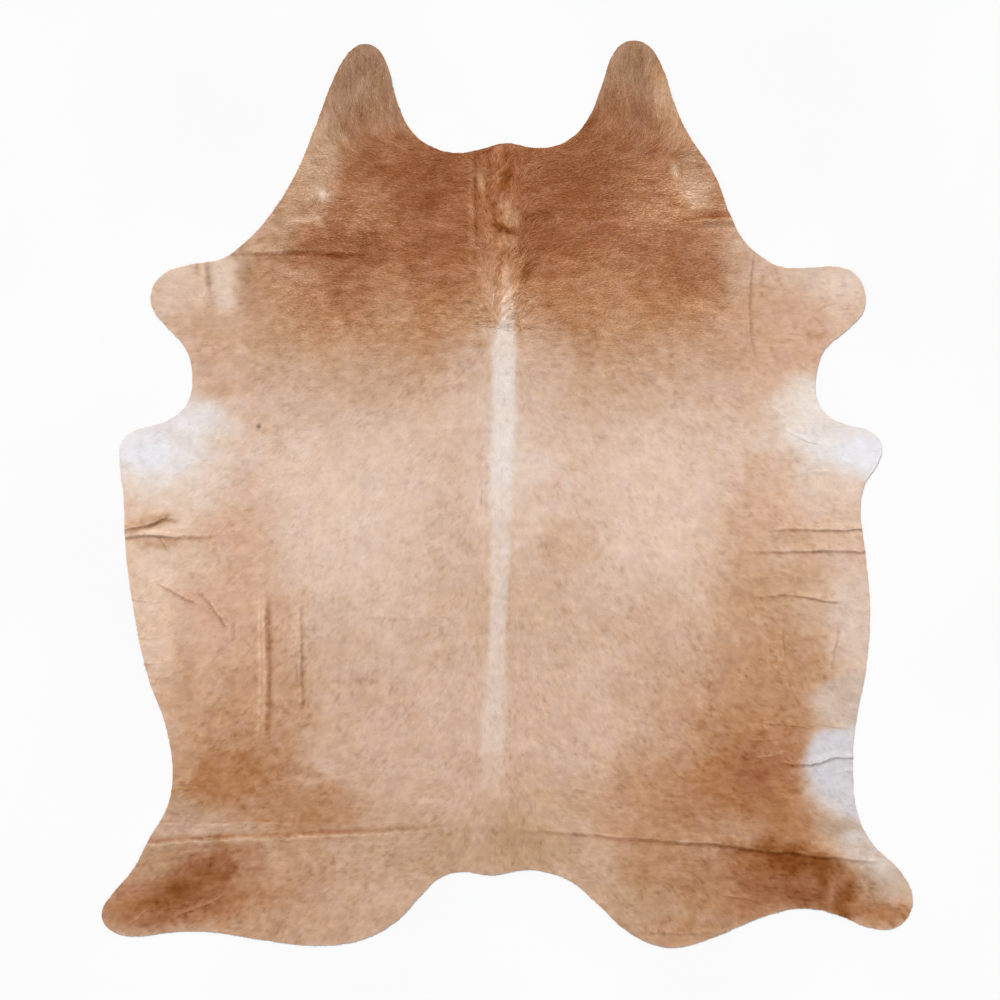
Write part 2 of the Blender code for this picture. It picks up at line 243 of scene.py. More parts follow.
# %% Fine creases, too narrow for the solid, in the same columns
CREASES = (
    ("right hip crease, upper", "pleat", 0.007, 0.45, (
        (0.600, -0.562, 0.0), (0.682, -0.573, 0.0014), (0.752, -0.583, 0.0010))),
    ("right hip crease, middle", "pleat", 0.007, 0.45, (
        (0.585, -0.618, 0.0), (0.655, -0.610, 0.0016), (0.728, -0.596, 0.0))),
    ("right hip crease, rising", "ridge", 0.006, 0.75, (
        (0.585, -0.664, 0.0), (0.655, -0.656, 0.0018), (0.735, -0.624, 0.0))),
    ("left rim crease, upper", "groove", 0.006, 0.45, (
        (-0.925, -0.384, 0.0012), (-0.890, -0.388, 0.0012), (-0.858, -0.386, 0.0))),
    ("left rim crease, middle", "groove", 0.006, 0.50, (
        (-0.905, -0.460, 0.0012), (-0.872, -0.464, 0.0012), (-0.842, -0.462, 0.0))),
    ("left rim crease, lower", "groove", 0.006, 0.45, (
        (-0.888, -0.500, 0.0012), (-0.860, -0.504, 0.0012), (-0.828, -0.502, 0.0))),
    ("right foreleg, across", "ridge", 0.005, 0.35, (
        (0.765, 0.458, 0.0), (0.795, 0.473, 0.0014), (0.822, 0.486, 0.0))),
    ("right flank bump", "ridge", 0.008, 0.50, (
        (0.768, -0.214, 0.0), (0.788, -0.210, 0.0030), (0.802, -0.222, 0.0))),
    ("right flank, thin line", "ridge", 0.004, 0.50, (
        (0.585, -0.210, 0.0), (0.680, -0.207, 0.0008), (0.760, -0.206, 0.0))),
    ("right flank, upright", "pleat", 0.006, 0.50, (
        (0.690, -0.420, 0.0), (0.687, -0.375, 0.0020), (0.684, -0.325, 0.0))),
    ("right belly, slanting", "pleat", 0.007, 0.50, (
        (0.803, -0.445, 0.0), (0.818, -0.380, 0.0024), (0.832, -0.318, 0.0))),
    ("right thigh, upright", "groove", 0.006, 0.40, (
        (0.498, -0.380, 0.0), (0.506, -0.470, 0.0018), (0.514, -0.560, 0.0))),
    ("right white patch, upper", "pleat", 0.005, 0.55, (
        (0.770, -0.572, 0.0), (0.815, -0.580, 0.0014), (0.862, -0.586, 0.0))),
    ("right white patch, lower", "ridge", 0.005, 0.30, (
        (0.800, -0.700, 0.0), (0.850, -0.690, 0.0014), (0.890, -0.695, 0.0012))),
    ("left edge wrinkle, upper", "ridge", 0.006, 0.45, (
        (-0.935, -0.264, 0.0020), (-0.895, -0.266, 0.0018), (-0.852, -0.264, 0.0))),
    ("left edge wrinkle, middle", "ridge", 0.005, 0.35, (
        (-0.915, -0.362, 0.0016), (-0.865, -0.363, 0.0))),
    ("left edge wrinkle, lower", "ridge", 0.005, 0.35, (
        (-0.905, -0.422, 0.0016), (-0.858, -0.424, 0.0))),
    ("left flank, branch", "pleat", 0.006, 0.70, (
        (-0.862, -0.116, 0.0024), (-0.852, -0.130, 0.0028), (-0.844, -0.146, 0.0))),
    ("left flank, second branch", "pleat", 0.005, 0.60, (
        (-0.838, -0.112, 0.0018), (-0.832, -0.124, 0.0020), (-0.836, -0.138, 0.0))),
    ("left flank, thin line", "ridge", 0.004, 0.80, (
        (-0.950, -0.092, 0.0), (-0.860, -0.095, 0.0012), (-0.740, -0.099, 0.0))),
    ("left flank, upright", "groove", 0.010, 0.45, (
        (-0.682, -0.275, 0.0), (-0.682, -0.330, 0.0022), (-0.686, -0.390, 0.0))),
    ("left thigh, pale edge", "ridge", 0.004, 1.00, (
        (-0.624, -0.640, 0.0), (-0.621, -0.500, 0.0018), (-0.620, -0.350, 0.0018),
        (-0.622, -0.190, 0.0))),
    ("left thigh, second edge", "ridge", 0.004, 0.80, (
        (-0.613, -0.625, 0.0), (-0.611, -0.520, 0.0016), (-0.610, -0.330, 0.0016),
        (-0.612, -0.240, 0.0))),
    ("left hock, dark line", "groove", 0.004, 0.80, (
        (-0.840, -0.734, 0.0014), (-0.800, -0.741, 0.0014), (-0.765, -0.740, 0.0))),
    ("left hind, across", "groove", 0.012, 0.20, (
        (-0.930, -0.930, 0.0010), (-0.830, -0.912, 0.0014), (-0.700, -0.898, 0.0012),
        (-0.600, -0.890, 0.0))),
    ("left foot, second wrinkle", "ridge", 0.005, 0.85, (
        (-0.955, -1.080, 0.0), (-0.925, -1.060, 0.0012), (-0.902, -1.040, 0.0014),
        (-0.898, -1.020, 0.0))),
    ("right brisket, curved line", "pleat", 0.005, 0.35, (
        (0.682, 0.182, 0.0), (0.705, 0.155, 0.0012), (0.755, 0.132, 0.0014), (0.830, 0.118, 0.0))),
    ("right brisket, faint line", "pleat", 0.005, 0.35, (
        (0.820, 0.060, 0.0), (0.745, 0.052, 0.0012), (0.640, 0.048, 0.0))),
    ("left thigh, short crease", "groove", 0.005, 0.50, (
        (-0.616, -0.560, 0.0), (-0.604, -0.595, 0.0018), (-0.596, -0.632, 0.0))),
    ("right hind, across", "pleat", 0.007, 0.40, (
        (0.510, -0.992, 0.0), (0.590, -1.010, 0.0020), (0.680, -1.034, 0.0))),
    ("right hind, upper", "groove", 0.006, 0.40, (
        (0.640, -0.945, 0.0), (0.720, -0.958, 0.0016), (0.790, -0.962, 0.0))),
    ("spine mark, upper", "groove", 0.005, 0.40, (
        (-0.045, -0.070, 0.0), (0.000, -0.072, 0.0012), (0.060, -0.070, 0.0))),
    ("spine mark, middle", "groove", 0.005, 0.25, (
        (-0.040, -0.152, 0.0), (-0.006, -0.154, 0.0010), (0.032, -0.152, 0.0))),
    ("spine mark, lower", "groove", 0.006, 0.25, (
        (-0.040, -0.498, 0.0), (-0.008, -0.504, 0.0010), (0.026, -0.512, 0.0))),
    ("beside the stripe", "groove", 0.004, 0.40, (
        (-0.061, 0.070, 0.0), (-0.062, 0.010, 0.0012), (-0.064, -0.070, 0.0))),
    ("right neck, across", "groove", 0.004, 0.45, (
        (0.350, 0.861, 0.0), (0.395, 0.860, 0.0014), (0.438, 0.859, 0.0))),
    ("neck fold, dark line", "groove", 0.004, 0.80, (
        (-0.078, 0.648, 0.0), (-0.078, 0.605, 0.0012), (-0.080, 0.560, 0.0))),
    ("withers, upper line", "groove", 0.004, 0.70, (
        (-0.235, 0.452, 0.0), (-0.140, 0.449, 0.0016), (-0.050, 0.447, 0.0))),
    ("withers, lower line", "groove", 0.004, 0.55, (
        (-0.165, 0.384, 0.0), (-0.105, 0.382, 0.0014), (-0.055, 0.374, 0.0))),
    ("withers, right line", "groove", 0.004, 0.55, (
        (0.028, 0.424, 0.0), (0.060, 0.425, 0.0014), (0.135, 0.427, 0.0))),
    ("across the loin, left", "ridge", 0.010, 0.10, (
        (-0.420, -0.300, 0.0), (-0.250, -0.310, 0.0012), (-0.080, -0.305, 0.0))),
    ("across the shoulder, right", "ridge", 0.010, 0.10, (
        (0.080, 0.300, 0.0), (0.300, 0.312, 0.0012), (0.480, 0.290, 0.0))),
)
print(len(FOLDS), "folds and", len(CREASES), "fine creases")

# %% Raise the chart of heights, and chart a painted highlight on the tops of the creases and painted shade in their feet
CHART_SQUARE = 0.0015
# Half widths that the swells beside a groove and the two sides of a pleat reach out to
SWELL_REACH = 3.0
STEEP_SHARE, GENTLE_SHARE = 0.84, 1.80
# Painted shade in a foot, together with the darker roots of the hair parted there: dark in a soft band
# and darker along one line, both in half widths of the fold
FOOT_FROM, FOOT_BAND, FOOT_LINE, NO_FOOT = 0.60, 0.85, 0.34, 2.0
BAND_DARK, LINE_DARK = 0.45, 0.55
# A mark fades where its fold is lower than this, and the painted highlight on its top reaches this far
# each way
MARK_RUN_OUT = 0.0012
HIGHLIGHT_HALF_WIDTH = 0.0032
CREASE_WAVER = 0.003
# Layers of noise, as size, strength and seed: how a crease bends across and along the hide, how
# uneven its height is, and how its mark breaks up
BENDS_ACROSS = ((0.055, 1.0, 11), (0.014, 0.5, 14))
BENDS_ALONG = ((0.055, 1.0, 12), (0.014, 0.5, 15))
UNEVEN = ((0.040, 0.30, 13),)
BREAKS = ((0.016, 0.35, 16), (0.006, 0.25, 17))


def hump(distance, half_width):
    """A soft hump, one high in the middle and nothing at its feet."""
    return np.cos(np.minimum(np.abs(distance) / half_width, 1) * (math.pi / 2)) ** 2


def raise_to(chart, box, value):
    """Raise part of a chart to a value, where it is lower."""
    chart.values[box][..., 0] = np.maximum(chart.values[box][..., 0], value)


def lay_stretch(kind, half_width, marked, first, second):
    """Raise one straight stretch of a fold on the chart, and chart the painted highlight on its top and
    the painted shade in its foot.
    """
    reach = half_width * SWELL_REACH + CREASE_WAVER
    box = heights.window(min(first[0], second[0]) - reach, min(first[1], second[1]) - reach,
                         max(first[0], second[0]) + reach, max(first[1], second[1]) + reach)
    x, y = heights.x[box], heights.y[box]
    run = np.array((second[0] - first[0], second[1] - first[1]))
    long = np.linalg.norm(run)
    off_x = x + CREASE_WAVER * clouds(x, y, BENDS_ACROSS) - first[0]
    off_y = y + CREASE_WAVER * clouds(x, y, BENDS_ALONG) - first[1]
    share = np.clip((off_x * run[0] + off_y * run[1]) / long ** 2, 0, 1)
    distance = np.hypot(off_x - run[0] * share, off_y - run[1] * share)
    left_of_run = (off_y * run[0] - off_x * run[1]) / long > 0
    if kind == "pleat":
        shape = hump(distance, half_width * np.where(left_of_run, GENTLE_SHARE, STEEP_SHARE))
        foot = np.where(left_of_run, NO_FOOT, distance / half_width - FOOT_FROM)
    elif kind == "groove":
        shape = hump(distance, half_width * SWELL_REACH) - hump(distance, half_width)
        foot = distance / half_width
    else:
        shape = hump(distance, half_width)
        foot = np.full(distance.shape, NO_FOOT)
    height = blend(first[2], second[2], share) * (1 + clouds(x, y, UNEVEN))
    mark = marked * ease(height / MARK_RUN_OUT) * (1 + clouds(x, y, BREAKS))
    # Painted shade in the foot of a pleat or groove, and a painted highlight along the top of a pleat or
    # ridge
    dark = BAND_DARK * hump(foot, FOOT_BAND) + LINE_DARK * hump(foot, FOOT_LINE)
    raise_to(heights, box, height * shape)
    raise_to(feet, box, mark * dark)
    if kind != "groove":
        raise_to(tops, box, mark * hump(distance, HIGHLIGHT_HALF_WIDTH))


heights, feet, tops = Chart(CHART_SQUARE), Chart(CHART_SQUARE), Chart(CHART_SQUARE)
for _, fold_kind, fold_half_width, fold_mark, fold_places in FOLDS + CREASES:
    for fold_start, fold_end in zip(fold_places, fold_places[1:]):
        lay_stretch(fold_kind, fold_half_width, fold_mark, fold_start, fold_end)
print(f"the highest fold stands {heights.values.max() * 1000:.1f} mm off the floor")

# %% [markdown]
# The leather.
# Tanned cowhide is about two millimetres thick, smooth and haired above and suede
# below. Its outline comes from the solid, so the two agree. A copy of the solid
# is merged, its underside is kept and dissolved to one flat face, and knife cuts
# with bisect_plane divide that face into small squares. Squares keep the folds even
# where a triangle fill would give long splinters. The squares are halved again
# along the folds, then lifted, and the sheet gets its thickness last.

# %% Sizes of the leather
LEATHER = 0.0022
CELL = 0.011
KNIFE_SNAP = 0.002
MERGE = 0.00001
WALL_TILT = 0.5
RIM_CUTS = 2
EDGE_INSET = 0.0012
EDGE_WOBBLE, EDGE_WOBBLE_SIZE = 0.0012, 0.012
# Squares are halved where a fold is this high, and again where it rises this much across half a one
FOLD_SHOWS = 0.0003
STEEP_RISE = 0.0012


def outline_face():
    """The hide's outline as one flat face looking up, from a merged copy of the solid."""
    sheet = bmesh.new()
    sheet.from_mesh(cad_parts["hide"].data)
    bmesh.ops.remove_doubles(sheet, verts=sheet.verts, dist=MERGE)
    sheet.normal_update()
    upper = {corner for face in sheet.faces if face.normal.z > WALL_TILT for corner in face.verts}
    bmesh.ops.delete(sheet, geom=list(upper), context="VERTS")
    bmesh.ops.scale(sheet, verts=sheet.verts, vec=(1, 1, 0))
    bmesh.ops.dissolve_faces(sheet, faces=sheet.faces, use_verts=False)
    sheet.normal_update()
    if sheet.faces[:][0].normal.z < 0:
        bmesh.ops.reverse_faces(sheet, faces=sheet.faces)
    return sheet


def soften_rim(sheet):
    """Round the outline between its corners and trim it a little unevenly, as a knife does."""
    bmesh.ops.subdivide_edges(sheet, edges=sheet.edges, cuts=RIM_CUTS)
    bmesh.ops.smooth_vert(sheet, verts=sheet.verts, factor=0.5, use_axis_x=True, use_axis_y=True)
    corners = sheet.faces[:][0].verts[:]
    places = np.array([corner.co.xy for corner in corners])
    run = np.roll(places, -1, axis=0) - np.roll(places, 1, axis=0)
    run /= np.linalg.norm(run, axis=1)[:, None]
    inward = np.stack((-run[:, 1], run[:, 0]), axis=1)
    uneven = 1 + cloud(*places.T, EDGE_WOBBLE_SIZE, 21)
    places += inward * (EDGE_INSET + EDGE_WOBBLE / 2 * uneven)[:, None]
    for corner, (x, y) in zip(corners, places):
        corner.co = (x, y, 0)
    return places


# %% Cut the outline from the solid
leather = outline_face()
rim_places = soften_rim(leather)
leather_area = leather.faces[:][0].calc_area()
print(f"the outline has {len(rim_places)} points and holds {leather_area:.2f} square metres")

# %% Divide the leather into squares
def knife(sheet, faces, place, across):
    """Cut some faces on an upright plane, and give back those beyond it."""
    parts = set(faces)
    for face in faces:
        parts.update(face.edges)
        parts.update(face.verts)
    after = bmesh.ops.bisect_plane(sheet, geom=list(parts), dist=KNIFE_SNAP,
                                   plane_co=place, plane_no=across)
    return [part for part in after["geom"] if isinstance(part, bmesh.types.BMFace)
            and (part.calc_center_median() - place).dot(across) > 0]


def divide(sheet):
    """Cut the outline into strips, then the strips into squares."""
    spans = ((cad_low.x, cad_high.x, Vector((1, 0, 0))), (cad_low.y, cad_high.y, Vector((0, 1, 0))))
    for low, high, across in spans:
        beyond = sheet.faces[:]
        squares = math.ceil((high - low) / CELL)
        for line in range(1, squares):
            beyond = knife(sheet, beyond, across * (low + (high - low) * line / squares), across)


def halve(sheet, chosen):
    """Divide again the squares round the chosen corners."""
    sheet.verts.index_update()
    edges = [edge for edge in sheet.edges if any(chosen[corner.index] for corner in edge.verts)]
    bmesh.ops.subdivide_edges(sheet, edges=edges, cuts=1, use_grid_fill=True)


def places_of(sheet):
    """Where the corners of a sheet lie, seen from above."""
    return np.array([corner.co.xy for corner in sheet.verts])


def halve_along_folds(sheet):
    """Make the squares finer where a fold lifts them, and finer still where it is steep."""
    halve(sheet, heights.read(*places_of(sheet).T) > FOLD_SHOWS)
    x, y = places_of(sheet).T
    near = [heights.read(x + aside, y + ahead) for aside, ahead in
            ((CELL / 4, 0), (-CELL / 4, 0), (0, CELL / 4), (0, -CELL / 4))]
    halve(sheet, np.ptp(near, axis=0) > STEEP_RISE)


def lift(sheet):
    """Raise every corner to the height of the folds."""
    for corner, height in zip(sheet.verts, heights.read(*places_of(sheet).T)):
        corner.co.z = height


divide(leather)
halve_along_folds(leather)
lift(leather)
print(len(leather.faces), "faces in the sheet")

# %% Give the leather its thickness
TOP, UNDERSIDE, CUT_EDGE = range(3)


def thicken(sheet):
    """Make the sheet a closed skin, its lower side on the floor, and sort its faces."""
    bmesh.ops.solidify(sheet, geom=sheet.faces[:], thickness=LEATHER)
    sheet.normal_update()
    lowest = min(corner.co.z for corner in sheet.verts)
    bmesh.ops.translate(sheet, verts=sheet.verts, vec=(0, 0, -lowest))
    # The walls come in any order, so the faces are put in one that every run repeats.
    placed = sorted(sheet.faces, key=lambda face: tuple(face.calc_center_median()))
    for number, face in enumerate(placed):
        face.index = number
        face.smooth = True
        if face.normal.z > WALL_TILT:
            face.material_index = TOP
        elif face.normal.z < -WALL_TILT:
            face.material_index = UNDERSIDE
        else:
            face.material_index = CUT_EDGE
    sheet.faces.sort()


thicken(leather)
print("faces above, below and at the edge:",
      [sum(face.material_index == side for face in leather.faces) for side in range(3)])

# %% Chart the distance to the rim
RIM_REACH = 0.040


def inside_rows(chart, places):
    """True at the places of the chart inside the outline, found by crossing it row by row."""
    inside = np.zeros(chart.x.shape, bool)
    for (x0, y0), (x1, y1) in zip(places, np.roll(places, -1, axis=0)):
        if y0 > y1:
            x0, y0, x1, y1 = x1, y1, x0, y0
        first = math.ceil((y0 - chart.bottom) / chart.square)
        last = math.ceil((y1 - chart.bottom) / chart.square)
        for row in range(first, last):
            share = (chart.bottom + row * chart.square - y0) / (y1 - y0)
            column = math.ceil((x0 + (x1 - x0) * share - chart.left) / chart.square)
            inside[row, column:] ^= True
    return inside


def chart_rim(places):
    """How far each place lies outside the rim, in metres, as a negative number inside it."""
    chart = Chart(CHART_SQUARE)
    gap = np.full(chart.x.shape, RIM_REACH)
    for x, y in places:
        box = chart.window(x - RIM_REACH, y - RIM_REACH, x + RIM_REACH, y + RIM_REACH)
        gap[box] = np.minimum(gap[box], np.hypot(chart.x[box] - x, chart.y[box] - y))
    chart.values[..., 0] = np.where(inside_rows(chart, places), -gap, gap)
    return chart


rim_gap = chart_rim(rim_places)
print(f"the chart holds {(rim_gap.values < 0).sum() * CHART_SQUARE ** 2:.2f} square metres of hide")

# %% [markdown]
# The colours of the coat.
# The hide is russet at the neck, fades through tan to fawn over the back, and has
# a milky stripe on the spine, white briskets, one white flank and dark hind legs.
# An image would have to be painted for this one outline. Named patches do the
# same in a table: each has its middle, its size, its turn, how soft its edge is
# and its tone, and noise lets the edge wander. They are laid over a fawn ground
# in order, as a dyer would mask and spray them, and kept as a chart.

# %% Tones
TONES = {
    "soot": "4c382c",
    "umber": "7f471a",
    "chestnut": "8c5430",
    "russet": "9b6240",
    "caramel": "ab764e",
    "ash tan": "997458",
    "tan": "b98b67",
    "dun": "b48e6c",
    "pale dun": "c19f81",
    "honey": "c29b7a",
    "sand": "c6a288",
    "blush": "d2a98e",
    "wheat": "d2b19b",
    "fawn": "dabba5",
    "peach": "e2c2a9",
    "cream": "e2c9b6",
    "milk": "e8dbd0",
    "oat": "cab4a3",
    "olive": "b0977f",
    "linen": "d9c0ae",
    "frost": "e7dcd5",
    "ash white": "d5c8bf",
    "chalk": "ebe8eb",
    "dove": "cfcacd",
}


def paint(tone):
    """A tone by name, as the eye sees it: red, green and blue from 0 to 1."""
    code = TONES[tone]
    return np.array([int(code[at:at + 2], 16) for at in (0, 2, 4)]) / 255


def as_light(seen):
    """A tone as the eye sees it, turned into the linear light that shaders use."""
    seen = np.clip(seen, 0, 1)
    return np.where(seen <= 0.04045, seen / 12.92, ((seen + 0.055) / 1.055) ** 2.4)


print(len(TONES), "tones")

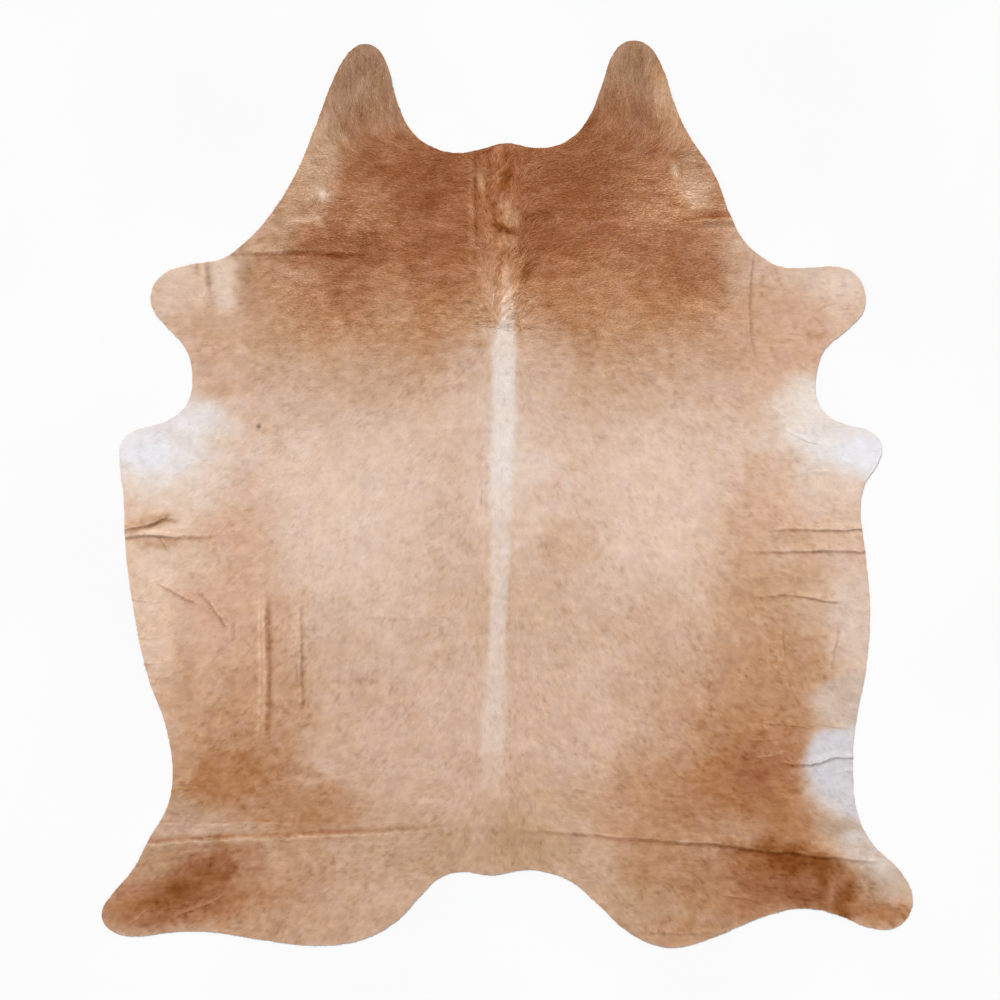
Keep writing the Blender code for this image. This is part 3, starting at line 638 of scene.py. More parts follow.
# %% Patches, as name, middle (across, along), half width, half length, turn in degrees,
# softness of the edge, tone and strength
PATCHES = (
    ("rump", 0, -1.02, 1.3, 0.64, 0, 0.5, "sand", 0.95),
    ("croup", 0.02, -0.84, 0.3, 0.1, 0, 0.9, "pale dun", 0.65),
    ("croup, left", -0.12, -0.87, 0.18, 0.07, 0, 0.8, "dun", 0.5),
    ("croup, right", 0.12, -0.76, 0.1, 0.07, 0, 0.8, "dun", 0.45),
    ("loin", -0.02, -0.5, 0.8, 0.32, 0, 0.6, "wheat", 0.7),
    ("back beside the spine, left", -0.14, -0.12, 0.13, 0.5, 0, 0.7, "wheat", 0.45),
    ("back beside the spine, right", 0.15, -0.16, 0.16, 0.48, 0, 0.7, "wheat", 0.5),
    ("pale saddle, left", -0.4, -0.06, 0.17, 0.3, 0, 0.8, "cream", 0.6),
    ("pale saddle, right", 0.38, -0.06, 0.17, 0.3, 0, 0.8, "cream", 0.5),
    ("left column", -0.69, -0.02, 0.09, 0.26, 0, 0.8, "blush", 0.75),
    ("right flank, upper", 0.67, -0.12, 0.11, 0.27, 0, 0.5, "blush", 0.9),
    ("left flank", -0.69, -0.34, 0.15, 0.3, 8, 0.6, "blush", 0.95),
    ("left flank, folds", -0.58, -0.5, 0.08, 0.18, 0, 0.8, "tan", 0.45),
    ("left groin", -0.44, -0.48, 0.12, 0.18, 0, 0.8, "sand", 0.55),
    ("loin, middle", 0.01, -0.3, 0.2, 0.13, 0, 0.9, "pale dun", 0.35),
    ("right flank", 0.68, -0.31, 0.14, 0.2, -6, 0.6, "honey", 0.85),
    ("right groin", 0.4, -0.46, 0.11, 0.2, 0, 0.8, "sand", 0.85),
    ("right flank, inner", 0.575, -0.24, 0.09, 0.17, 0, 0.8, "tan", 0.32),
    ("back, brown", 0.15, -0.12, 0.08, 0.05, 0, 0.8, "honey", 0.45),
    ("left belly edge", -0.9, -0.22, 0.06, 0.32, 8, 0.6, "peach", 0.85),
    ("right belly edge", 0.87, -0.22, 0.06, 0.26, 0, 0.6, "wheat", 0.85),
    ("right belly, pale edge", 0.865, -0.33, 0.068, 0.15, -3, 0.3, "linen", 0.85),
    ("left girth", -0.87, -0.02, 0.14, 0.1, 0, 0.6, "peach", 0.9),
    ("left girth, pale", -0.9, 0.032, 0.055, 0.045, 0, 0.8, "milk", 0.8),
    ("left column, top", -0.68, 0.06, 0.08, 0.05, 0, 0.8, "blush", 0.5),
    ("right girth", 0.83, -0.02, 0.1, 0.1, 0, 0.6, "peach", 0.55),
    ("left brisket, cream", -0.8, 0.1, 0.17, 0.12, 0, 0.8, "milk", 0.65),
    ("left brisket, white", -0.89, 0.12, 0.12, 0.065, 0, 0.6, "chalk", 1),
    ("right brisket, cream", 0.79, 0.075, 0.15, 0.105, -8, 0.8, "linen", 0.85),
    ("right brisket, pale", 0.77, 0.12, 0.12, 0.07, -10, 0.8, "milk", 0.85),
    ("right brisket, lower", 0.83, 0.02, 0.06, 0.04, 0, 0.8, "cream", 0.8),
    ("right brisket, white", 0.855, 0.13, 0.15, 0.062, -20, 0.55, "chalk", 0.95),
    ("right brisket, rim", 0.92, 0.115, 0.05, 0.075, -10, 0.6, "chalk", 0.85),
    # Painted shade along the two puckers of the left flank
    ("left pucker, upper painted shade", -0.895, -0.068, 0.06, 0.016, 14, 0.7, "tan", 0.65),
    ("left pucker, lower painted shade", -0.86, -0.125, 0.05, 0.014, 0, 0.7, "tan", 0.6),
    ("shoulder fade", 0, 0.3, 0.74, 0.13, 0, 0.8, "sand", 0.75),
    ("shoulders", 0, 0.44, 0.7, 0.15, 0, 0.6, "tan", 0.95),
    ("left shoulder, tan", -0.6, 0.42, 0.17, 0.065, 0, 0.8, "tan", 0.5),
    ("right shoulder, inner", 0.12, 0.43, 0.08, 0.05, 0, 0.8, "caramel", 0.35),
    ("left shoulder, pale", -0.29, 0.49, 0.06, 0.06, 0, 0.8, "honey", 0.35),
    ("left shoulder, brown", -0.49, 0.455, 0.11, 0.06, 0, 0.8, "caramel", 0.6),
    ("left shoulder, middle", -0.14, 0.41, 0.08, 0.04, 0, 0.8, "caramel", 0.35),
    ("right shoulder, outer", 0.68, 0.36, 0.12, 0.14, 0, 0.8, "blush", 0.75),
    ("right brisket, top", 0.77, 0.232, 0.085, 0.075, -25, 0.5, "milk", 0.95),
    ("right brisket, hollow", 0.8, 0.175, 0.06, 0.04, -25, 0.6, "frost", 0.9),
    ("left brisket, top", -0.77, 0.195, 0.09, 0.045, 10, 0.8, "chalk", 0.75),
    ("beside the stripe, left", -0.1, 0.3, 0.06, 0.12, 0, 0.8, "wheat", 0.85),
    ("beside the stripe, pale", 0.018, 0.15, 0.09, 0.2, 0, 0.9, "milk", 0.52),
    ("back, pale left", -0.17, 0.165, 0.08, 0.09, 0, 0.9, "peach", 0.55),
    ("beside the stripe, right", 0.07, 0.29, 0.08, 0.12, 0, 0.8, "wheat", 0.85),
    ("neck", 0, 0.72, 0.56, 0.26, 0, 0.45, "caramel", 1),
    ("neck, deep", -0.02, 0.73, 0.44, 0.19, 0, 0.5, "russet", 0.9),
    ("neck, lower left", -0.34, 0.55, 0.22, 0.09, 0, 0.7, "russet", 0.6),
    ("neck, lower right", 0.38, 0.56, 0.22, 0.1, 0, 0.7, "russet", 0.45),
    ("poll, left", -0.22, 0.8, 0.15, 0.09, 0, 0.8, "chestnut", 0.6),
    ("poll, right", 0.21, 0.79, 0.12, 0.08, 0, 0.8, "chestnut", 0.85),
    ("nape, right", 0.16, 0.67, 0.12, 0.06, 0, 0.8, "chestnut", 0.4),
    ("neck band, left", -0.42, 0.607, 0.17, 0.036, -3, 0.8, "chestnut", 0.8),
    ("neck band, right", 0.44, 0.58, 0.1, 0.06, 6, 0.8, "chestnut", 0.4),
    ("crest, upright fold", -0.09, 0.69, 0.007, 0.13, 0, 0.6, "tan", 0.5),
    ("crest, pale lock", -0.066, 0.786, 0.01, 0.026, 10, 0.6, "honey", 0.65),
    ("crest, lower", -0.02, 0.58, 0.05, 0.08, 0, 0.8, "tan", 0.5),
    ("crest, lower left", -0.06, 0.49, 0.04, 0.06, 0, 0.8, "tan", 0.5),
    ("crest, dark lock", -0.004, 0.79, 0.016, 0.024, -10, 0.5, "umber", 0.9),
    ("crest, dark speck", -0.03, 0.725, 0.014, 0.006, 10, 0.5, "umber", 0.8),
    ("crest, golden lock", -0.008, 0.722, 0.014, 0.012, 0, 0.6, "honey", 0.6),
    ("crest, golden tuft", 0.012, 0.69, 0.022, 0.02, 25, 0.6, "honey", 0.7),
    ("crest, parting", -0.016, 0.668, 0.03, 0.009, -30, 0.5, "umber", 1),
    ("crest, second parting", 0.045, 0.657, 0.01, 0.005, 10, 0.6, "umber", 0.8),
    ("crest, olive lock", 0.006, 0.632, 0.022, 0.012, 0, 0.8, "tan", 0.55),
    ("crest, red lock", 0.048, 0.555, 0.012, 0.026, -25, 0.5, "umber", 0.7),
    ("chest burst", -0.02, 0.45, 0.075, 0.05, 0, 0.9, "honey", 0.6),
    ("withers, pale streak", 0, 0.478, 0.014, 0.08, 0, 0.7, "wheat", 0.75),
    ("withers, golden left", -0.04, 0.52, 0.022, 0.05, 12, 0.8, "sand", 0.45),
    ("withers, pale left", -0.05, 0.403, 0.026, 0.018, 0, 0.8, "cream", 0.5),
    ("left neck edge", -0.55, 0.67, 0.12, 0.045, 40, 0.7, "pale dun", 0.65),
    ("left whorl", -0.475, 0.745, 0.04, 0.05, 20, 0.9, "sand", 0.45),
    ("left whorl, pale column", -0.436, 0.835, 0.024, 0.06, 0, 0.8, "wheat", 0.65),
    ("left neck, brown", -0.445, 0.65, 0.06, 0.03, 0, 0.8, "russet", 0.75),
    ("left whorl, white hairs", -0.462, 0.752, 0.008, 0.014, 20, 0.9, "milk", 0.8),
    ("left cheek, brown spot", -0.495, 0.712, 0.024, 0.02, 0, 0.7, "russet", 0.55),
    ("left cheek, second spot", -0.43, 0.705, 0.022, 0.022, 0, 0.7, "russet", 0.55),
    ("left cheek, crescent", -0.478, 0.69, 0.005, 0.03, 35, 0.6, "fawn", 0.75),
    ("left cheek, dark", -0.348, 0.645, 0.04, 0.02, 0, 0.8, "chestnut", 0.6),
    ("left cheek, pale", -0.345, 0.735, 0.05, 0.06, 0, 0.9, "tan", 0.65),
    ("left ear edge", -0.48, 0.86, 0.05, 0.15, -16, 0.7, "pale dun", 0.8),
    ("left ear", -0.36, 1.03, 0.13, 0.16, 8, 0.5, "ash tan", 0.95),
    ("left ear, root", -0.33, 0.87, 0.07, 0.1, -10, 0.8, "russet", 0.42),
    ("right ear", 0.34, 1.03, 0.13, 0.16, -6, 0.5, "ash tan", 1),
    ("right ear, root", 0.3, 0.91, 0.09, 0.08, 0, 0.8, "russet", 0.65),
    ("right ear, dark tuft", 0.38, 1.05, 0.03, 0.02, 20, 0.7, "russet", 0.8),
    ("right ear edge", 0.43, 0.9, 0.04, 0.12, 18, 0.6, "tan", 0.6),
    ("right ear, outer edge", 0.395, 0.985, 0.03, 0.085, 16, 0.7, "honey", 0.8),
    ("right ear, inner edge", 0.22, 0.905, 0.05, 0.06, -25, 0.8, "chestnut", 0.6),
    ("right neck, upper brown", 0.385, 0.832, 0.06, 0.05, 0, 0.8, "russet", 0.75),
    ("right whorl", 0.42, 0.82, 0.04, 0.05, 10, 0.9, "honey", 0.25),
    ("right whorl, white hairs", 0.42, 0.808, 0.006, 0.018, 15, 0.8, "milk", 0.85),
    ("right whorl, dark tuft", 0.424, 0.848, 0.013, 0.009, 0, 0.6, "umber", 0.8),
    ("right cheek, pale", 0.49, 0.75, 0.06, 0.07, 20, 0.7, "tan", 1),
    ("right cheek, palest", 0.47, 0.765, 0.034, 0.042, 25, 0.8, "sand", 0.9),
    ("right cheek, inner", 0.36, 0.7, 0.06, 0.04, 0, 0.8, "tan", 0.55),
    ("right cheek, dark", 0.52, 0.7, 0.045, 0.01, -4, 0.7, "russet", 0.7),
    ("right neck edge", 0.61, 0.59, 0.07, 0.06, -30, 0.7, "wheat", 0.55),
    ("neck, lower right, pale", 0.265, 0.56, 0.065, 0.05, 0, 0.8, "tan", 0.55),
    ("neck, lower right, brown", 0.385, 0.485, 0.1, 0.05, 0, 0.8, "caramel", 0.45),
    ("left foreleg", -0.82, 0.48, 0.17, 0.12, 0, 0.45, "fawn", 1),
    ("left foreleg, inner", -0.6, 0.5, 0.062, 0.11, 12, 0.3, "tan", 0.65),
    ("left foreleg, pale band", -0.712, 0.53, 0.024, 0.085, 12, 0.35, "cream", 0.8),
    ("left shoulder, olive", -0.655, 0.555, 0.022, 0.036, 12, 0.4, "ash tan", 0.42),
    ("left shoulder, pale spot", -0.66, 0.36, 0.015, 0.014, 0, 0.5, "cream", 0.8),
    ("left foreleg, lower", -0.74, 0.38, 0.08, 0.05, 0, 0.8, "blush", 0.85),
    ("left foreleg, upper edge", -0.8, 0.562, 0.09, 0.018, 6, 0.8, "cream", 0.7),
    ("left foreleg, mottled", -0.765, 0.425, 0.07, 0.045, 0, 0.8, "honey", 0.55),
    ("left foreleg, streak", -0.748, 0.545, 0.005, 0.05, 6, 0.8, "ash tan", 0.55),
    ("left foreleg, short streak", -0.775, 0.568, 0.006, 0.022, 4, 0.8, "tan", 0.6),
    ("left foreleg, smudge", -0.715, 0.265, 0.035, 0.016, 8, 0.8, "tan", 0.45),
    ("right foreleg", 0.84, 0.5, 0.12, 0.11, 0, 0.6, "fawn", 1),
    ("right foreleg, inner", 0.73, 0.45, 0.08, 0.12, 0, 0.8, "blush", 0.8),
    ("right foreleg, upper edge", 0.765, 0.55, 0.11, 0.036, -4, 0.8, "linen", 0.8),
    ("right foreleg, pale tip", 0.833, 0.515, 0.06, 0.04, 10, 0.8, "cream", 0.75),
    ("right foreleg, brown spots", 0.77, 0.395, 0.022, 0.014, 20, 0.8, "tan", 0.6),
    ("right shoulder, mark", 0.533, 0.463, 0.014, 0.006, 0, 0.6, "russet", 0.55),
    ("left elbow", -0.7, 0.27, 0.07, 0.035, 10, 0.7, "blush", 0.7),
    ("left hip", -0.68, -0.7, 0.15, 0.1, -15, 0.7, "caramel", 1),
    ("left hip, lower", -0.51, -0.79, 0.15, 0.065, 0, 0.7, "tan", 0.95),
    ("left hip, far edge", -0.5, -0.8, 0.09, 0.06, 0, 0.8, "caramel", 0.3),
    ("left hip, above", -0.66, -0.56, 0.16, 0.11, 0, 0.8, "tan", 0.6),
    ("left hip, rim", -0.825, -0.49, 0.045, 0.1, -6, 0.8, "tan", 0.45),
    ("right hip", 0.61, -0.7, 0.2, 0.13, 18, 0.6, "caramel", 1),
    ("right hip, dark", 0.64, -0.68, 0.1, 0.06, 20, 0.8, "russet", 0.9),
    ("right hip, above", 0.66, -0.49, 0.14, 0.14, -10, 0.7, "tan", 0.9),
    ("right hip, top", 0.6, -0.575, 0.12, 0.045, -10, 0.8, "caramel", 0.5),
    ("right hip, inner", 0.38, -0.82, 0.14, 0.09, 0, 0.7, "caramel", 0.6),
    ("right hip, upper edge", 0.485, -0.56, 0.1, 0.075, -30, 0.8, "tan", 0.6),
    ("right hip, far edge", 0.35, -0.69, 0.1, 0.07, 20, 0.8, "tan", 0.6),
    ("left hock, pale", -0.8, -0.82, 0.1, 0.03, 0, 0.8, "sand", 0.7),
    ("left thigh", -0.64, -1, 0.19, 0.12, 8, 0.8, "tan", 0.6),
    # A painted highlight along the top of the step above the rump fold
    ("rump, painted highlight band", -0.745, -0.834, 0.17, 0.01, 1, 0.8, "wheat", 0.55),
    ("left hind", -0.82, -0.98, 0.18, 0.065, 22, 0.7, "russet", 0.85),
    ("left hind, lower", -0.74, -1.02, 0.15, 0.045, 8, 0.8, "caramel", 0.75),
    ("left hind, upper", -0.88, -0.915, 0.08, 0.04, 20, 0.8, "dun", 0.6),
    ("left hind, red", -0.752, -0.955, 0.06, 0.03, 22, 0.8, "umber", 0.6),
    ("left hind, dark", -0.825, -0.995, 0.026, 0.034, -30, 0.8, "umber", 0.95),
    ("left hind, dark streak", -0.88, -1.018, 0.06, 0.014, 20, 0.8, "umber", 0.75),
    ("left foot", -0.95, -1.03, 0.06, 0.05, 20, 0.7, "caramel", 0.6),
    ("right thigh", 0.48, -0.99, 0.22, 0.11, 0, 0.8, "dun", 0.95),
    ("right thigh, outer", 0.56, -1.015, 0.1, 0.045, -10, 0.8, "caramel", 0.55),
    ("right thigh, middle", 0.4, -0.93, 0.09, 0.06, -10, 0.8, "caramel", 0.45),
    ("right hock, brown", 0.7, -0.84, 0.07, 0.07, 0, 0.8, "caramel", 0.95),
    ("right hind", 0.71, -0.96, 0.18, 0.065, -12, 0.7, "russet", 0.85),
    ("right flank, white border", 0.906, -0.695, 0.162, 0.15, 0, 0.26, "linen", 0.75),
    ("right flank, white top", 0.888, -0.66, 0.138, 0.082, 0, 0.2, "dove", 0.95),
    ("right flank, white", 0.908, -0.695, 0.15, 0.12, -4, 0.24, "dove", 0.95),
    ("right flank, white corner", 0.806, -0.638, 0.052, 0.05, 0, 0.3, "dove", 0.9),
    ("right flank, beige", 0.87, -0.515, 0.115, 0.068, 4, 0.26, "oat", 0.95),
    ("right flank, olive", 0.84, -0.84, 0.06, 0.028, -20, 0.6, "olive", 0.9),
    ("right hock, white", 0.895, -0.88, 0.055, 0.036, -30, 0.5, "ash white", 0.95),
    ("right hind, dark", 0.7, -0.915, 0.1, 0.035, -10, 0.8, "umber", 1),
    ("right hind, under the fold", 0.735, -0.925, 0.09, 0.02, -6, 0.7, "umber", 0.9),
    ("right hind, dark stripe", 0.788, -0.99, 0.014, 0.045, 0, 0.7, "umber", 0.8),
    ("right hind, dark end", 0.845, -1.02, 0.026, 0.055, -10, 0.7, "umber", 1),
    ("right hind, lower", 0.76, -1.005, 0.09, 0.035, -10, 0.8, "chestnut", 0.5),
    ("right hoof end", 0.95, -0.945, 0.06, 0.05, -45, 0.6, "oat", 0.85),
    ("right hoof, lower edge", 0.935, -1.045, 0.09, 0.03, -8, 0.7, "caramel", 0.9),
    ("tail", 0.08, -0.88, 0.1, 0.05, 0, 0.8, "dun", 0.6),
    ("tail, middle", 0, -0.845, 0.05, 0.08, 0, 0.8, "dun", 0.55),
    ("girth spot", -0.62, 0.168, 0.0038, 0.0075, 15, 0.3, "soot", 1),
    # Painted shade on the right hock, beside the end of the rump fold
    ("right hock, painted shade", 0.89, -0.9, 0.05, 0.028, -15, 0.7, "oat", 0.8),
    ("right hoof, pale", 0.925, -0.935, 0.035, 0.03, -40, 0.7, "frost", 0.5),
    ("right hoof, shade", 0.915, -0.985, 0.035, 0.045, 0, 0.8, "ash tan", 0.45),
    ("right hind, gap", 0.608, -0.915, 0.035, 0.02, 0, 0.8, "russet", 0.6),
    ("right hind, lower brown", 0.665, -0.995, 0.07, 0.03, 0, 0.8, "chestnut", 0.4),
    ("left hind, right", -0.755, -0.985, 0.05, 0.04, 0, 0.8, "chestnut", 0.6),
    ("left hock, shade", -0.818, -0.79, 0.05, 0.035, 0, 0.8, "ash tan", 0.3),
    ("left rim, pale", -0.815, -0.665, 0.03, 0.04, 0, 0.8, "honey", 0.75),
    ("right cheek, grey", 0.458, 0.838, 0.045, 0.04, 0, 0.8, "ash tan", 0.5),
    ("left shoulder, lighter", -0.592, 0.398, 0.08, 0.06, 0, 0.8, "honey", 0.6),
    ("left neck base, gap", -0.292, 0.522, 0.06, 0.04, 0, 0.8, "tan", 0.6),
    ("right neck base, brown", 0.458, 0.522, 0.05, 0.04, 0, 0.8, "russet", 0.35),
    ("right neck, lighter", 0.308, 0.772, 0.05, 0.05, 0, 0.8, "tan", 0.3),
    ("left foot, under", -0.83, -1.04, 0.11, 0.032, 8, 0.8, "russet", 0.5),
    ("right thigh, under", 0.43, -1.095, 0.09, 0.032, 0, 0.8, "caramel", 0.5),
    ("right hind, red", 0.605, -0.916, 0.045, 0.022, 0, 0.8, "caramel", 0.7),
    ("left neck, dark middle", -0.442, 0.648, 0.04, 0.03, 0, 0.8, "chestnut", 0.45),
    ("left brisket, inner edge", -0.665, 0.215, 0.045, 0.035, 0, 0.8, "blush", 0.55),
    ("left flank, pale middle", -0.82, -0.17, 0.11, 0.045, 0, 0.8, "cream", 0.5),
    ("right brisket, inner edge", 0.675, 0.078, 0.05, 0.035, 0, 0.8, "blush", 0.6),
    ("right brisket, upper inner", 0.692, 0.215, 0.04, 0.035, 0, 0.8, "milk", 0.55),
    ("withers, right", 0.088, 0.365, 0.045, 0.06, 0, 0.8, "sand", 0.5),
    ("right shoulder, middle", 0.235, 0.49, 0.06, 0.05, 0, 0.8, "tan", 0.4),
    ("left shoulder, lower pale", -0.292, 0.455, 0.05, 0.04, 0, 0.8, "honey", 0.45),
    ("back, left of the middle", -0.215, -0.3, 0.06, 0.06, 0, 0.8, "wheat", 0.45),
    ("rump, right of the stripe", 0.12, -0.76, 0.08, 0.05, 0, 0.8, "honey", 0.4),
    ("right hind, under", 0.61, -1.035, 0.06, 0.03, 0, 0.8, "russet", 0.4),
    ("left thigh, ground", -0.58, -0.43, 0.03, 0.11, 0, 0.9, "blush", 0.35),
    ("right flank, lighter", 0.685, -0.15, 0.05, 0.05, 0, 0.8, "fawn", 0.4),
    ("back, right edge", 0.53, -0.165, 0.04, 0.04, 0, 0.8, "fawn", 0.4),
    ("right belly, lighter", 0.757, -0.29, 0.04, 0.04, 0, 0.8, "fawn", 0.45),
)

# %% The milky stripe on the spine, as (along, middle, half width, strength)
SPINE = -0.0125
STRIPE = ((0.500, 0.003, 0.012, 0.0), (0.450, 0.002, 0.018, 0.40), (0.408, -0.004, 0.027, 0.72),
          (0.350, -0.010, 0.033, 0.78), (0.290, -0.006, 0.031, 0.80), (0.180, -0.006, 0.031, 0.76),
          (0.060, -0.015, 0.0295, 0.74), (-0.065, -0.017, 0.0245, 0.56), (-0.140, -0.018, 0.023, 0.50),
          (-0.265, -0.021, 0.0215, 0.52), (-0.365, -0.025, 0.020, 0.50), (-0.440, -0.028, 0.024, 0.46),
          (-0.600, -0.036, 0.030, 0.40), (-0.760, -0.040, 0.026, 0.0))

# %% Paint the chart of tones
TONE_SQUARE = 0.003
PATCH_WANDER = 0.17
FIRST_SEED, SEEDS_EACH = 100, 4
# Layers of noise, as size, strength and seed: how the edge of a patch wanders, in shares of the
# patch, and how the larger and softer ones fray besides
WANDERS = ((0.55, 1.0, 0), (0.20, 0.6, 1))
FRAYS = ((0.022, 0.9, 2), (0.009, 0.7, 3))
FRAYED_FROM, FULLY_FRAYED = 0.04, 0.7
STRIPE_SOFTNESS = 0.38
STRIPE_WANDERS, STRIPE_FRAYS = ((0.050, 0.07, 71),), ((0.010, 0.12, 72),)


def within(reach, softness):
    """1 inside an edge at reach 1 and 0 outside it, fading over its softness."""
    return ease((1 + softness - reach) / (2 * softness))


def patch_share(x, y, patch, seed):
    """How far each place belongs to one patch, from 0 to 1."""
    _, across, along, half_width, half_length, turn, softness, _, strength = patch
    turn = math.radians(turn)
    wide = (x - across) * math.cos(turn) + (y - along) * math.sin(turn)
    long = (y - along) * math.cos(turn) - (x - across) * math.sin(turn)
    size = math.sqrt(half_width * half_length)
    wander = clouds(x / size, y / size, WANDERS, seed)
    if size > FRAYED_FROM:
        loose = softness / FULLY_FRAYED
        wander = loose * (wander + loose * clouds(x, y, FRAYS, seed))
    reach = np.hypot(wide / half_width, long / half_length) + PATCH_WANDER * wander
    return within(reach, softness) * strength


def stripe_share(x, y):
    """How far each place belongs to the stripe on the spine."""
    along, middle, half_width, strength = np.array(STRIPE[::-1]).T
    reach = np.abs(x - np.interp(y, along, middle)) / np.interp(y, along, half_width)
    reach = reach + clouds(2 * x, y, STRIPE_WANDERS) + clouds(x, y, STRIPE_FRAYS)
    return within(reach, STRIPE_SOFTNESS) * np.interp(y, along, strength, left=0, right=0)


def lay_tone(chart, box, tone, share):
    """Blend a tone into part of the chart."""
    chart.values[box] += (paint(tone) - chart.values[box]) * share[..., None]


def chart_tones():
    """The broad colour of the coat, as seen."""
    chart = Chart(TONE_SQUARE, depth=3)
    chart.values[:] = paint("fawn")
    for number, patch in enumerate(PATCHES):
        _, across, along, half_width, half_length, _, softness, tone, _ = patch
        reach = max(half_width, half_length) * (1 + softness + 2 * PATCH_WANDER)
        box = chart.window(across - reach, along - reach, across + reach, along + reach)
        share = patch_share(chart.x[box], chart.y[box], patch, FIRST_SEED + SEEDS_EACH * number)
        lay_tone(chart, box, tone, share)
    whole = chart.window(cad_low.x, cad_low.y, cad_high.x, cad_high.y)
    lay_tone(chart, whole, "frost", stripe_share(chart.x[whole], chart.y[whole]))
    return chart


tones = chart_tones()
print(len(PATCHES), "patches on the hide")

# %% [markdown]
# The lie of the hair.
# Hair on a hide lies as it did on the animal: forward along the crest, back along
# the spine, and outwards and back over the flanks and legs, with a whorl on each
# cheek, one on the crest and one at the withers. A comb table says this with a few
# strokes for one side, which are mirrored across the spine. Between strokes the
# direction is their blend, as the nearer stroke pulls harder.

# %% Strokes, as name, middle from the spine and along, reach across, reach along, and heading in
# degrees, where 0 points away from the spine and 90 to the neck
STROKES = (
    ("crest", 0.00, 0.70, 0.048, 0.22, 90),
    ("spine", 0.00, -0.20, 0.055, 0.55, -90),
    ("tail", 0.00, -0.90, 0.10, 0.10, -90),
    ("upper neck", 0.24, 0.79, 0.18, 0.09, -2),
    ("lower neck", 0.26, 0.61, 0.20, 0.09, 4),
    ("neck side", 0.50, 0.66, 0.10, 0.10, -6),
    ("shoulder", 0.20, 0.42, 0.22, 0.09, 0),
    ("outer shoulder", 0.50, 0.40, 0.18, 0.14, -15),
    ("withers", 0.25, 0.22, 0.18, 0.12, -35),
    ("back", 0.30, -0.05, 0.22, 0.20, -55),
    ("loin", 0.30, -0.42, 0.22, 0.22, -58),
    ("upper flank", 0.62, 0.08, 0.18, 0.20, -30),
    ("flank", 0.78, -0.28, 0.18, 0.24, -35),
    ("hip", 0.60, -0.64, 0.20, 0.12, -30),
    ("rump", 0.38, -0.84, 0.26, 0.12, -18),
    ("thigh lobe", 0.38, -1.04, 0.16, 0.07, -50),
    ("hind leg", 0.86, -0.98, 0.20, 0.12, -28),
    ("foreleg", 0.80, 0.49, 0.16, 0.13, 0),
    ("brisket", 0.86, 0.12, 0.14, 0.10, -8),
    ("ear", 0.35, 1.02, 0.12, 0.13, 88),
)
WHORL_PULL = 3
# Keeps a division from meeting nothing
TINY = 0.000001
# Each whorl: its name, its middle, how far it reaches and how far its rays are turned, in degrees
WHORLS = (("left cheek", -0.462, 0.752, 0.030, 60), ("right cheek", 0.420, 0.835, 0.032, -50),
          ("withers", -0.010, 0.405, 0.055, 0), ("crest", -0.010, 0.660, 0.020, 20))


def turned(lie, angle):
    """Directions turned by an angle each."""
    cosine, sine = np.cos(angle), np.sin(angle)
    return np.stack((lie[:, 0] * cosine - lie[:, 1] * sine,
                     lie[:, 0] * sine + lie[:, 1] * cosine), axis=1)


def comb(x, y):
    """The direction in which the hair lies at each place, as unit vectors."""
    lie = np.zeros((len(x), 2))
    for _, offset, along, reach_across, reach_along, heading in STROKES:
        way = math.radians(heading)
        for side in (1, -1):
            apart = ((x - SPINE - side * offset) / reach_across) ** 2
            pull = np.exp(-apart - ((y - along) / reach_along) ** 2) + TINY
            lie[:, 0] += pull * side * math.cos(way)
            lie[:, 1] += pull * math.sin(way)
    lie /= np.linalg.norm(lie, axis=1)[:, None] + TINY
    for _, across, along, reach, swirl in WHORLS:
        off = np.stack((x - across, y - along), axis=1)
        apart = np.linalg.norm(off, axis=1)[:, None] + TINY
        pull = WHORL_PULL * np.exp(-(apart / reach) ** 2)
        lie += pull * turned(off, np.full(len(x), math.radians(swirl))) / apart
    return lie / np.linalg.norm(lie, axis=1)[:, None]


print(len(STROKES), "strokes of the comb, mirrored, and", len(WHORLS), "whorls")

# %% [markdown]
# Life in the colour.
# No two places on a coat share a colour. Broad drifts, mottles and streaks along
# the hair make each patch uneven, and small brown specks gather over the back.
# The tops of the folds carry a painted highlight and their feet painted shade,
# and the neck is painted lighter to make up for the deeper shade among its long
# locks. A paler hair is paler in red, green and blue alike, so every change is a
# step added to all three as the eye sees them, and not a share of each.

# %% Tint a place on the coat
# Each row: size of the lumps, step on the body, step on the neck
DRIFTS = ((0.048, 0.009, 0.020), (0.024, 0.015, 0.026), (0.012, 0.022, 0.034), (0.006, 0.023, 0.030))
# Each row: width and length of the streaks, step on the body, step on the neck
STREAKS = ((0.0030, 0.022, 0.014, 0.038), (0.0045, 0.045, 0.010, 0.042), (0.010, 0.060, 0.008, 0.034))
# A streak is the sum of noise read at a few places along the hair, brought back to about 1
STREAK_READINGS, STREAK_EVENER = 7, 3.2
LEVEL = np.array((1.0, 0.0))
# Specks show where their noise tops a height, and only where a broader noise gathers them
SPECK_SIZE, SPECK_FROM, SPECK_FADE, SPECK = 0.0070, 0.34, 0.35, 0.055
GATHER_SIZE, GATHER_FROM, GATHER_FADE = 0.045, -0.45, 0.60
WARMTH = ((0.032, 0.6, 64), (0.012, 0.4, 65))
# Steps in red, green and blue as seen
PALER = np.array((0.94, 1.00, 1.06))
WARMER = np.array((0.004, -0.0015, -0.018))
# Painted shade in the feet of the folds, and a painted highlight on their tops
FOOT_SHADE_STEP = np.array((0.128, 0.158, 0.170))
TOP_HIGHLIGHT_STEP = np.array((0.095, 0.110, 0.115))
NECK_FROM, NECK_FADE, NECK_HALF_WIDTH, NECK_SIDE_FADE = 0.28, 0.30, 0.64, 0.15
# A painted lift of the neck's tones, making up for the deeper shade among its longer, higher locks
NECK_SHADE_LIFT = 0.075
